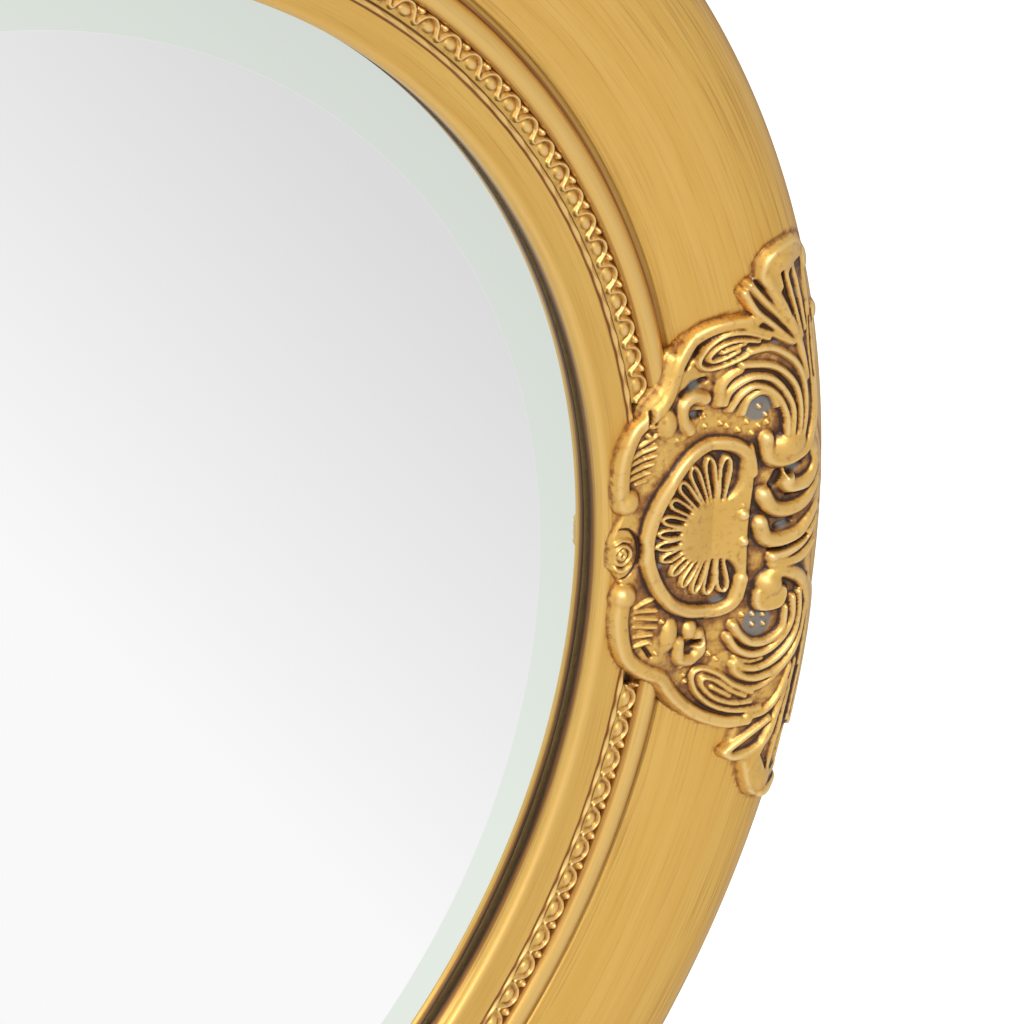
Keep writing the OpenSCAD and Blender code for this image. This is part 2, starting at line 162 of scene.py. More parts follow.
@dataclass(frozen=True)
class AntiqueGold(Finish):
    """Gold bronze paint on turned fibreboard or cast resin, under a wiped brown glaze.

    Satin and only partly metallic: mica flakes in a lacquer. The glaze stays in the hollows and in
    the scratches of the brush, and its dark brown also paints the shade in hollows, beside the
    ornaments and down the walls and sides. The high parts are rubbed lighter and carry a painted
    highlight. Three mesh attributes say where: the glaze with the painted shade, the rubbed wear with
    the painted highlight, and the bare resin. A stroke and a cloud have a length and a width, and
    scratch, warm and deep hold where a colour starts, where it is full and its greatest share.
    """

    brushing: Brushing
    gold: str = "#D5A241"
    pale: str = "#E9BF68"
    # Rubbed high parts, and the painted highlight on them.
    rubbed_and_highlight: str = "#EDC983"
    # The brown glaze, also the colour of the painted shade.
    glaze_and_shade: str = "#331A08"
    amber: str = "#96591E"
    resin: str = "#7C7B79"
    stroke: Point = (34.0, 0.55)
    cloud: Point = (120.0, 5.0)
    dab_size: float = 1.8
    dab_cloud: float = 15.0
    stroke_depth: float = 0.12
    raggedness: float = 0.5
    scratch: Triple = (0.52, 0.8, 0.38)
    warm: Triple = (0.08, 0.45, 0.9)
    deep: Triple = (0.4, 0.85, 0.96)
    metallic: float = 0.7
    roughness: float = 0.4
    glaze_roughness: float = 0.25
    lacquer: float = 0.5
    lacquer_roughness: float = 0.36

    def surface(self, tree: Tree) -> dict[str, Any]:
        """Lay the colours over one another, from the gold to the bare resin.

        Args:
            tree: The material's tree.

        Returns:
            The shader's inputs.
        """
        stroke, cloud = self.patterns(tree)
        # The first mark is glaze with painted shade, the second rubbed wear with painted highlight.
        glaze_and_shade, rub_and_highlight, bare = (
            add_node(tree, "ShaderNodeAttribute", attribute_name=mark).outputs["Fac"]
            for mark in ("glaze_and_shade", "rub_and_highlight", "bare")
        )
        # The glaze and painted shade, made ragged by the brush strokes.
        spread = {0: stroke, 1: self.raggedness, 2: -0.5 * self.raggedness}
        ragged = add_node(tree, "ShaderNodeMath", spread, operation="MULTIPLY_ADD").outputs[0]
        mark_mix = add_node(tree, "ShaderNodeMath", {0: glaze_and_shade, 1: ragged}, operation="ADD").outputs[0]
        scratch, warm, deep = (
            add_node(
                tree,
                "ShaderNodeMapRange",
                {"Value": value, "From Min": start, "From Max": full, "To Max": share},
            ).outputs["Result"]
            for value, (start, full, share) in (
                (stroke, self.scratch), (mark_mix, self.warm), (mark_mix, self.deep),
            )
        )
        colour = linear(self.gold)
        # The rub layer paints rubbed wear and highlight; warm and deep paint glaze and shade.
        layers = (
            (cloud, self.pale), (scratch, self.amber), (rub_and_highlight, self.rubbed_and_highlight),
            (warm, self.amber), (deep, self.glaze_and_shade), (bare, self.resin),
        )
        for share, over in layers:
            blend = {0: share, 6: colour, 7: linear(over)}
            colour = add_node(tree, "ShaderNodeMix", blend, data_type="RGBA").outputs[2]
        dulling = {0: deep, 1: self.glaze_roughness, 2: self.roughness}
        rough = add_node(tree, "ShaderNodeMath", dulling, operation="MULTIPLY_ADD").outputs[0]
        depth = {"Height": stroke, "Strength": 0.3, "Distance": self.stroke_depth * MM}
        return {
            "Base Color": colour,
            "Metallic": self.metallic,
            "Roughness": rough,
            "Coat Weight": self.lacquer,
            "Coat Roughness": self.lacquer_roughness,
            "Normal": add_node(tree, "ShaderNodeBump", depth).outputs["Normal"],
        }

    def patterns(self, tree: Tree) -> list[Socket]:
        """Add the brush marks and the slow change of tone.

        Args:
            tree: The material's tree.

        Returns:
            Both, as outputs from 0 to 1.
        """
        place = add_node(tree, "ShaderNodeTexCoord")
        if self.brushing is Brushing.ALONG:
            source = place.outputs["UV"]
            scales = [(1 / length, 1 / width, 1.0) for length, width in (self.stroke, self.cloud)]
        else:
            source = place.outputs["Object"]
            scales = [(1 / (size * MM),) * 3 for size in (self.dab_size, self.dab_cloud)]
        outputs = []
        for scale in scales:
            mapped = add_node(tree, "ShaderNodeMapping", {"Vector": source, "Scale": scale})
            noise = add_node(
                tree,
                "ShaderNodeTexNoise",
                {"Vector": mapped.outputs["Vector"], "Scale": 1.0, "Detail": 4.0, "Roughness": 0.6},
            )
            outputs.append(noise.outputs["Fac"])
        return outputs


@dataclass(frozen=True)
class SilveredGlass(Finish):
    """Float glass, silvered on its back: a perfect reflector, faintly green where it is ground."""

    colour: str
    roughness: float

    def surface(self, tree: Tree) -> dict[str, Any]:
        """Return the shader's inputs: clean glass has no pattern."""
        return {"Base Color": linear(self.colour), "Metallic": 1.0, "Roughness": self.roughness}


@dataclass(frozen=True)
class GrainedBoard(Finish):
    """Pressed wood fibre, sanded but unpainted: matt, with pale and dark fibres of a few millimetres."""

    light: str
    dark: str
    fibre_length: float = 6.0
    fibre_width: float = 0.9
    fibre_depth: float = 0.1
    roughness: float = 0.82

    def surface(self, tree: Tree) -> dict[str, Any]:
        """Add the fibres.

        Args:
            tree: The material's tree.

        Returns:
            The shader's inputs.
        """
        place = add_node(tree, "ShaderNodeTexCoord").outputs["Object"]
        scale = (1 / (self.fibre_length * MM), 1 / MM, 1 / (self.fibre_width * MM))
        mapped = add_node(tree, "ShaderNodeMapping", {"Vector": place, "Scale": scale})
        fibres = add_node(
            tree,
            "ShaderNodeTexNoise",
            {"Vector": mapped.outputs["Vector"], "Scale": 1.0, "Detail": 5.0, "Distortion": 1.2},
        ).outputs["Fac"]
        blend = {0: fibres, 6: linear(self.dark), 7: linear(self.light)}
        depth = {"Height": fibres, "Strength": 0.3, "Distance": self.fibre_depth * MM}
        return {
            "Base Color": add_node(tree, "ShaderNodeMix", blend, data_type="RGBA").outputs[2],
            "Roughness": self.roughness,
            "Normal": add_node(tree, "ShaderNodeBump", depth).outputs["Normal"],
        }


@dataclass(frozen=True)
class CellFoam(Finish):
    """Closed-cell polyethylene foam sheet: matt, off-white, with cells of about half a millimetre."""

    colour: str = "#CFCEC8"
    shade: str = "#A9A8A2"
    cell: float = 0.6
    roughness: float = 0.9

    def surface(self, tree: Tree) -> dict[str, Any]:
        """Add the cells.

        Args:
            tree: The material's tree.

        Returns:
            The shader's inputs.
        """
        place = add_node(tree, "ShaderNodeTexCoord").outputs["Object"]
        size = {"Vector": place, "Scale": 1 / (self.cell * MM)}
        cells = add_node(tree, "ShaderNodeTexVoronoi", size).outputs["Distance"]
        blend = {0: cells, 6: linear(self.shade), 7: linear(self.colour)}
        colour = add_node(tree, "ShaderNodeMix", blend, data_type="RGBA").outputs[2]
        return {"Base Color": colour, "Roughness": self.roughness}


@dataclass(frozen=True)
class PlatedSteel(Finish):
    """Pressed steel, thinly plated with zinc or brass: bright, with rolling marks and dull patches."""

    colour: str
    dull: str
    roughness: float = 0.3
    dulling: float = 0.2
    mark_length: float = 8.0
    mark_width: float = 0.25

    def surface(self, tree: Tree) -> dict[str, Any]:
        """Add the rolling marks.

        Args:
            tree: The material's tree.

        Returns:
            The shader's inputs.
        """
        place = add_node(tree, "ShaderNodeTexCoord").outputs["Object"]
        scale = (1 / (self.mark_width * MM), 1 / MM, 1 / (self.mark_length * MM))
        mapped = add_node(tree, "ShaderNodeMapping", {"Vector": place, "Scale": scale})
        marks = add_node(
            tree,
            "ShaderNodeTexNoise",
            {"Vector": mapped.outputs["Vector"], "Scale": 1.0, "Detail": 3.0},
        ).outputs["Fac"]
        blend = {0: marks, 6: linear(self.colour), 7: linear(self.dull)}
        mark_mix = {0: marks, 1: self.dulling, 2: self.roughness}
        return {
            "Base Color": add_node(tree, "ShaderNodeMix", blend, data_type="RGBA").outputs[2],
            "Metallic": 1.0,
            "Roughness": add_node(tree, "ShaderNodeMath", mark_mix, operation="MULTIPLY_ADD").outputs[0],
        }


def ring_points(radius: np.ndarray, angle: np.ndarray, height: np.ndarray) -> np.ndarray:
    """Turn radii, angles and heights in front of the wall into points of the frame.

    Args:
        radius: Distances from the mirror's axis in millimetres.
        angle: Angles in radians.
        height: Heights in front of the wall in millimetres.

    Returns:
        Points in metres, with one more axis than the arguments.
    """
    stacked = np.broadcast_arrays(radius * np.cos(angle), -height, radius * np.sin(angle))
    return np.stack(stacked, axis=-1) * MM


def ring_quads(rows: int, columns: int, closed: bool = False) -> np.ndarray:
    """Number the quads of an outline that is turned all the way round.

    Args:
        rows: Points round the ring.
        columns: Points of the outline.
        closed: Whether the outline returns to its start.

    Returns:
        Rows of four vertex numbers.
    """
    start = np.arange(rows)[:, None] * columns
    end = (start + columns) % (rows * columns)
    here = np.arange(columns if closed else columns - 1)[None, :]
    there = (here + 1) % columns
    quads = np.stack([start + here, start + there, end + there, end + here], axis=-1)
    return quads.reshape(-1, 4)


def make_piece(
    name: str,
    points: np.ndarray,
    faces: np.ndarray,
    materials: Sequence[Material],
    face_material: np.ndarray | None = None,
    corner_uv: np.ndarray | None = None,
    marks: Mapping[str, np.ndarray] | None = None,
) -> bpy.types.Object:
    """Make a smooth mesh piece.

    Args:
        name: The piece's name.
        points: Vertices in metres.
        faces: Quads as rows of four vertex numbers.
        materials: The piece's material slots.
        face_material: Slot number of each face.
        corner_uv: A place on the surface in millimetres for each corner of each face.
        marks: Point attributes from 0 to 1 that the paint reads.

    Returns:
        The object, linked to the scene.
    """
    mesh = bpy.data.meshes.new(name)
    mesh.from_pydata(points.reshape(-1, 3).tolist(), [], faces.tolist())
    for material in materials:
        mesh.materials.append(material)
    if face_material is not None:
        mesh.polygons.foreach_set("material_index", face_material.astype(np.int32))
    if corner_uv is not None:
        layer = mesh.uv_layers.new(name="surface_mm")
        layer.data.foreach_set("uv", corner_uv.astype(np.float32).ravel())
    for mark, values in (marks or {}).items():
        attribute = mesh.attributes.new(mark, "FLOAT", "POINT")
        attribute.data.foreach_set("value", np.clip(values, 0, 1).astype(np.float32).ravel())
    mesh.polygons.foreach_set("use_smooth", np.ones(len(mesh.polygons), dtype=bool))
    mesh.validate()
    mesh.update()
    piece = bpy.data.objects.new(name, mesh)
    bpy.context.scene.collection.objects.link(piece)
    return piece


def place_piece(piece: bpy.types.Object, node: str) -> None:
    """Hang a piece on the frame's body and let it stand for its CAD node.

    Args:
        piece: The piece.
        node: The CAD node that it replaces.
    """
    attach(piece, BODY)
    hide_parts(node)
    LOG.info("%s: %d faces, stands for %s", piece.name, len(piece.data.polygons), node)


def ease(value: np.ndarray, low: float, high: float) -> np.ndarray:
    """Rise smoothly from 0 at low to 1 at high."""
    share = np.clip((value - low) / (high - low), 0, 1)
    return share * share * (3 - 2 * share)


def dome(place: np.ndarray) -> np.ndarray:
    """Height of a half-round bump at a place from 0 in its middle to 1 at its edge."""
    return np.sqrt(np.clip(1 - place**2, 0, 1))


def blurred(image: np.ndarray, spread: float) -> np.ndarray:
    """Blur a grid with a bell curve.

    Args:
        image: The grid.
        spread: The curve's standard deviation in cells.

    Returns:
        The blurred grid, of the same shape.
    """
    reach = max(1, int(math.ceil(spread * 3)))
    weights = np.exp(-0.5 * (np.arange(-reach, reach + 1) / spread) ** 2)
    weights /= weights.sum()
    result = image
    for axis in (0, 1):
        padding = [(reach, reach) if axis == k else (0, 0) for k in (0, 1)]
        padded = np.pad(result, padding, mode="edge")
        size = result.shape[axis]
        result = sum(
            weight * np.take(padded, range(k, k + size), axis=axis)
            for k, weight in enumerate(weights)
        )
    return result


def quarter_oval(centre: Point, half: Point, count: int, falling: bool = False) -> list[Point]:
    """Draw a quarter of an oval, up to its top or down from it.

    Args:
        centre: The oval's centre.
        half: Its half-sizes, of which the first is negative to its left.
        count: Points along the quarter, with its top.
        falling: Whether the line starts beside the top, and without it.

    Returns:
        The points.
    """
    turns = np.linspace(0, math.pi / 2, count)
    if falling:
        turns = turns[::-1][1:]
    return [(centre[0] + half[0] * math.cos(t), centre[1] + half[1] * math.sin(t)) for t in turns]


@dataclass(frozen=True)
class Mouldings:
    """The two turned rings: sizes of the CAD model, with band, bead and groove set after the photo.

    The painted shade down the sight wall, at its foot and down the outer side, and the darkening
    towards the outer edge, each hold a start, a reach or end and a strength.
    """

    r_sight: float = 186.3
    r_band_in: float = 196.9
    r_band_out: float = 202.2
    r_bead: float = 205.3
    bead_half: float = 3.1
    r_quirk: float = 208.4
    h_quirk: float = 18.7
    r_groove: float = 210.1
    r_shoulder: float = 211.0
    r_crest: float = 242.0
    r_out: float = 252.0
    r_rebate: float = 191.0
    r_tube: float = 199.0
    r_rim: float = 238.0
    rim_inset: float = 3.0
    rim_chamfer: float = 3.0
    ring_gap: float = 0.15
    h_back: float = 5.0
    h_flange: float = 14.0
    h_lip: float = 12.633
    h_step: float = 18.833
    step_w: float = 9.6
    step_rise: float = 0.7
    step_mid: Point = (4.6, 0.06)
    step_slope: float = 0.11
    h_band: float = 19.533
    h_channel: float = 17.333
    h_bead: float = 21.733
    h_groove: float = 17.433
    groove_fill: float = 1.9
    h_shoulder: float = 19.733
    h_crest: float = 28.433
    h_side: float = 19.433
    sight_round: float = 2.4
    roll_w: float = 10.0
    roll_h: float = 9.0
    edge_break: float = 0.35
    edge_share: float = 0.35
    smooth_cosine: float = -0.93
    longest: float = 1.1
    ridge_from: float = 192.5
    ridge_lead: float = 1.2
    ridge_step: float = 0.15
    ridge_r: float = 196.0
    ridge_w: float = 0.9
    ridge_h: float = 0.6
    ridge_wave: float = 0.35
    waves: int = 150
    segments: int = 1500
    brush_r: float = 220.0
    # Heights above which the painted contact shade beside the ornaments lies.
    painted_shade_heights: Point = (15.5, 17.5)
    wall_w: float = 1.5
    # Painted shade down the sight wall, darker at its foot by the glass.
    wall_shade: Triple = (17.0, 3.6, 0.58)
    foot_shade: Triple = (14.6, 1.4, 0.35)
    # Painted shade down the outer side of the roll.
    side_shade: Triple = (0.5, 9.0, 0.3)
    # Darker and warmer towards the outer edge.
    outer_darkening: Triple = (228.0, 244.0, 0.12)

    def cushion(self, radius: np.ndarray, lift: np.ndarray | float = 0.0) -> np.ndarray:
        """Find the height of a skin that lies a lift above the broad cushion and its roll.

        Args:
            radius: Distances from the mirror's axis.
            lift: How far the skin lies above the paint.

        Returns:
            Heights in front of the wall.
        """
        share = np.clip((radius - self.r_shoulder) / (self.r_crest - self.r_shoulder), 0, 1)
        rise = np.sin(share * np.pi / 2)
        fall = dome((radius - self.r_crest) / np.maximum(self.roll_w + lift, 1))
        inner = self.h_shoulder + (self.h_crest - self.h_shoulder) * rise + lift
        roll = self.h_side + np.maximum(self.roll_h + lift, 1) * fall
        return np.where(radius <= self.r_crest, inner, roll)

    def sight_drop(self, radius: np.ndarray) -> np.ndarray:
        """How far the rounded top of the sight edge falls below the step at each radius."""
        share = np.clip((self.r_sight + self.sight_round - radius) / self.sight_round, 0, 1)
        return self.sight_round * (1 - dome(share))

    def face(self, radius: np.ndarray) -> np.ndarray:
        """Find the face that an ornament covers.

        Args:
            radius: Distances from the mirror's axis.

        Returns:
            Heights in front of the wall.
        """
        step = self.h_step + self.step_rise * (radius - self.r_sight) / self.step_w
        bead = (self.h_bead - self.h_band) * dome((radius - self.r_bead) / self.bead_half)
        starts = (self.r_groove, self.r_band_out, self.r_band_in, self.r_sight)
        heights = (
            self.cushion(radius),
            self.h_band + bead,
            np.full_like(radius, self.h_channel),
            step - self.sight_drop(radius),
        )
        return np.select([radius > start for start in starts], heights, self.h_step)

    def inner_outline(self) -> tuple[list[Point], list[Point]]:
        """Draw the inner ring from the glass over its face to its back.

        Returns:
            Radius and height of the corners of its painted front and of its bare back.
        """
        lead = np.arange(self.ridge_r - self.ridge_lead, self.r_band_in + 0.01, self.ridge_step)
        ridge = [(float(r), self.h_band - self.step_slope * (self.r_band_in - float(r))) for r in lead]
        foot = self.h_band - self.ring_gap
        top = (self.r_sight + self.sight_round, self.h_step - self.sight_round)
        fall = (self.r_quirk - self.r_bead, self.h_bead - self.h_quirk)
        front = [
            (self.r_sight, self.h_lip),
            *quarter_oval(top, (-self.sight_round, self.sight_round), 9),
            (self.r_sight + self.step_mid[0], self.h_step + self.step_mid[1]),
            *ridge,
            (self.r_band_in, self.h_channel),
            (self.r_band_out, self.h_channel),
            *quarter_oval((self.r_bead, foot), (-self.bead_half, self.h_bead - foot), 11),
            *quarter_oval((self.r_bead, self.h_quirk), fall, 15, falling=True),
            (self.r_groove - 0.02, self.h_groove + self.groove_fill),
        ]
        back = [
            (self.r_groove - self.ring_gap, self.h_flange),
            (self.r_tube, self.h_flange),
            (self.r_tube, self.h_back),
            (self.r_rebate, self.h_back),
            (self.r_rebate, self.h_lip),
        ]
        return front, back

    def outer_outline(self) -> tuple[list[Point], list[Point]]:
        """Draw the outer ring from the groove over its face to its back.

        Returns:
            Radius and height of the corners of its painted front and of its bare back.
        """
        rise = np.linspace(self.r_shoulder, self.r_crest, 26)
        front = [
            (self.r_groove, self.h_groove + self.groove_fill),
            *((float(r), float(self.cushion(np.array(r)))) for r in rise),
            *quarter_oval((self.r_crest, self.h_side), (self.roll_w, self.roll_h), 22, falling=True),
            (self.r_out, self.rim_chamfer),
        ]
        back = [
            (self.r_out - self.rim_inset, 0.0),
            (self.r_rim, 0.0),
            (self.r_rim, self.h_back),
            (self.r_tube + self.ring_gap, self.h_back),
            (self.r_tube + self.ring_gap, self.h_flange),
            (self.r_groove, self.h_flange),
        ]
        return front, back

    def softened(self, front: list[Point], back: list[Point]) -> tuple[np.ndarray, np.ndarray]:
        """Break the sharp corners of an outline and fill its long stretches with points.

        The joint of the two rings stays sharp at the face, where paint closes it.

        Args:
            front: Corners of the painted front.
            back: Corners of the bare back.

        Returns:
            The new points, and whether the stretch after each is bare.
        """
        corners = np.array(front + back)
        is_back = [False] * len(front) + [True] * len(back)
        soft: list[np.ndarray] = []
        bare: list[bool] = []
        for i, corner in enumerate(corners):
            before = corners[i - 1] - corner
            after = corners[(i + 1) % len(corners)] - corner
            lengths = np.linalg.norm(before), np.linalg.norm(after)
            cosine = float(before @ after / (lengths[0] * lengths[1]))
            closed_joint = abs(corner[0] - self.r_groove) < 0.1 and corner[1] > self.h_groove
            if cosine < self.smooth_cosine or closed_joint:
                soft.append(corner)
                bare.append(is_back[i])
                continue
            cut = min(self.edge_break, self.edge_share * min(lengths))
            start = corner + before / lengths[0] * cut
            end = corner + after / lengths[1] * cut
            for t in (0.0, 0.25, 0.5, 0.75, 1.0):
                soft.append((1 - t) ** 2 * start + 2 * t * (1 - t) * corner + t**2 * end)
                bare.append(is_back[i - 1] if t < 0.5 else is_back[i])
        filled: list[np.ndarray] = []
        counts: list[int] = []
        for point, following in zip(soft, soft[1:] + soft[:1]):
            steps = max(1, int(np.linalg.norm(following - point) / self.longest))
            filled += [point + (following - point) * k / steps for k in range(steps)]
            counts.append(steps)
        return np.array(filled), np.repeat(bare, counts)

    def revolve(
        self,
        name: str,
        outline: tuple[list[Point], list[Point]],
        materials: Sequence[Material],
        shade: np.ndarray,
    ) -> bpy.types.Object:
        """Turn an outline into a ring.

        Args:
            name: The piece's name.
            outline: Corners of the front and of the back.
            materials: The finishes of the front and of the back.
            shade: Painted contact shade around the ornaments, by angle and radius.

        Returns:
            The ring.
        """
        profile, bare = self.softened(*outline)
        shape = (self.segments, len(profile))
        turn = np.arange(self.segments)
        angle = turn * 2 * np.pi / self.segments - np.pi
        radius = np.broadcast_to(profile[:, 0], shape)
        height = np.broadcast_to(profile[:, 1], shape)
        wave = self.ridge_wave * np.sin(self.waves * angle)[:, None]
        on_step = (radius > self.ridge_from) & (radius < self.r_band_in) & (height > self.h_step - 0.2)
        bump = np.exp(-(((radius - self.ridge_r - wave) / (self.ridge_w / 2)) ** 2))
        height = height + np.where(on_step, self.ridge_h * bump, 0)

        steps = np.linalg.norm(np.roll(profile, -1, axis=0) - profile, axis=1)
        along = np.concatenate([[0], np.cumsum(steps)])
        arc = 2 * np.pi * self.brush_r / self.segments
        u = np.broadcast_to(turn[:, None] * arc, shape)
        v0, v1 = (np.broadcast_to(edge, shape) for edge in (along[:-1], along[1:]))
        corners = ((u, v0), (u, v1), (u + arc, v1), (u + arc, v0))
        # Painted contact shade on the face beside the ornaments.
        painted_contact_shade = self.sampled(shade, angle, profile) * ease(profile[:, 1], *self.painted_shade_heights)
        marks = {
            "glaze_and_shade": np.maximum(self.glaze_and_shade(profile), painted_contact_shade),
            "rub_and_highlight": np.broadcast_to(self.rub_and_highlight(profile), shape),
            "bare": np.zeros(shape),
        }
        return make_piece(
            name,
            ring_points(radius, angle[:, None], height),
            ring_quads(*shape, closed=True),
            materials,
            np.broadcast_to(bare, shape).ravel(),
            np.stack([np.stack(corner, -1) for corner in corners], axis=2),
            marks,
        )

    def glaze_and_shade(self, profile: np.ndarray) -> np.ndarray:
        """Find the brown glaze that the brush left, with painted shade on the bead's flanks, in the
        channel, down the sight wall and down the outer side, and the darkening towards the outer edge.

        Args:
            profile: Points of an outline.

        Returns:
            Glaze and painted shade from 0 to 1.
        """
        radius, height = profile.T
        # The centre, the reach and the strength of each brown line: glaze in the corners and grooves,
        # and painted shade on both flanks of the bead.
        lines = (
            (self.r_band_in - 0.15, 0.25, 0.7),
            (self.ridge_r - 0.75, 0.3, 0.7),
            (self.r_band_out + 0.3, 0.5, 0.3),
            (self.r_quirk, 0.45, 0.6),
            (self.r_groove - 1.6, 1.4, 0.2),
            (self.r_shoulder + 0.6, 1.2, 0.14),
        )
        amount = np.zeros(len(profile))
        for centre, reach, strength in lines:
            amount = np.maximum(amount, strength * np.exp(-(((radius - centre) / reach) ** 2)))
        # Glaze and painted shade in the channel under the carved band.
        channel = (radius > self.r_band_in - 0.1) & (radius < self.r_band_out + 0.1)
        inward = np.where(radius > self.r_bead - self.bead_half - 0.4, 0.4, 0.9)
        amount = np.where(channel & (height < self.h_band - 0.05), inward, amount)
        # Painted shade down the sight wall, darkest at its foot.
        on_wall = radius < self.r_sight + self.wall_w
        wall = sum(
            strength * ease(top - height, 0.0, reach) * on_wall
            for top, reach, strength in (self.wall_shade, self.foot_shade)
        )
        # Painted shade down the outer side of the roll.
        start, end, strength = self.side_shade
        side = strength * ease(self.h_crest - height, start, end) * (radius > self.r_crest)
        # Darker and warmer towards the outer edge.
        start, end, strength = self.outer_darkening
        return np.maximum.reduce([amount, wall, side, strength * ease(radius, start, end)])

    def rub_and_highlight(self, profile: np.ndarray) -> np.ndarray:
        """Find the painted highlights on an outline's bead, ridge and sight edge.

        Args:
            profile: Points of an outline.

        Returns:
            Shares from 0 to 1.
        """
        # The centre, the reach and the strength of each painted highlight.
        lines = (
            (self.r_bead - 0.6, 1.6, 0.45),
            (self.ridge_r, 0.35, 0.8),
            (self.r_sight + 0.9, 0.8, 0.35),
        )
        return np.maximum.reduce([
            strength * np.exp(-(((profile[:, 0] - centre) / reach) ** 2))
            for centre, reach, strength in lines
        ])

    @staticmethod
    def sampled(shade: np.ndarray, angle: np.ndarray, profile: np.ndarray) -> np.ndarray:
        """Read the painted shade around an ornament, which repeats every quarter turn, at a ring's
        points.

        Args:
            shade: Painted shade by angle over a quarter turn and by radius.
            angle: The ring's angles.
            profile: Points of its outline.

        Returns:
            Painted shade by angle and point.
        """
        quarter = np.pi / 2
        turn = (angle + np.pi / 4) % quarter / quarter
        width = (profile[:, 0] - PAINTED_SHADE_RADII[0]) / (PAINTED_SHADE_RADII[1] - PAINTED_SHADE_RADII[0])
        rows, columns = (
            (np.clip(share, 0, 1) * (size - 1)).astype(int)
            for share, size in zip((turn, width), shade.shape)
        )
        return shade[rows][:, columns]

    def build(self, gold: Material, board: Material, shade: np.ndarray) -> None:
        """Build both rings over their CAD nodes.

        Args:
            gold: The finish of the front.
            board: The finish of the back.
            shade: Painted contact shade around the ornaments, by angle and radius.
        """
        for part, outline in (("inner", self.inner_outline()), ("outer", self.outer_outline())):
            ring = self.revolve(f"{part}_moulding", outline, (gold, board), shade)
            place_piece(ring, f"{part}_ring")


def relief_solid(
    top: np.ndarray, bottom: np.ndarray, keep: np.ndarray
) -> tuple[np.ndarray, np.ndarray, np.ndarray]:
    """Close a relief on a grid with a back and walls.

    Args:
        top: Points of the face, rows by columns by three.
        bottom: Points of the back, of the same shape.
        keep: Cells that belong to the piece, one row and one column fewer.

    Returns:
        Points, quads and the grid number of each point.
    """
    rows, columns = top.shape[:2]
    total = rows * columns
    i, j = np.nonzero(keep)
    a, b = i * columns + j, i * columns + j + 1
    c, d = a + columns + 1, a + columns
    faces = [np.stack([a, b, c, d], 1), np.stack([d, c, b, a], 1) + total]
    padded = np.pad(keep, 1)
    sides = (
        (padded[1:-1, :-2], a, d),
        (padded[1:-1, 2:], c, b),
        (padded[:-2, 1:-1], b, a),
        (padded[2:, 1:-1], d, c),
    )
    for neighbour, start, end in sides:
        open_side = ~neighbour[i, j]
        s, e = start[open_side], end[open_side]
        faces.append(np.stack([s, e, e + total, s + total], 1))
    quads = np.concatenate(faces)
    used = np.unique(quads)
    renumber = np.zeros(2 * total, dtype=np.int64)
    renumber[used] = np.arange(len(used))
    points = np.concatenate([top.reshape(-1, 3), bottom.reshape(-1, 3)])
    return points[used], renumber[quads], used % total


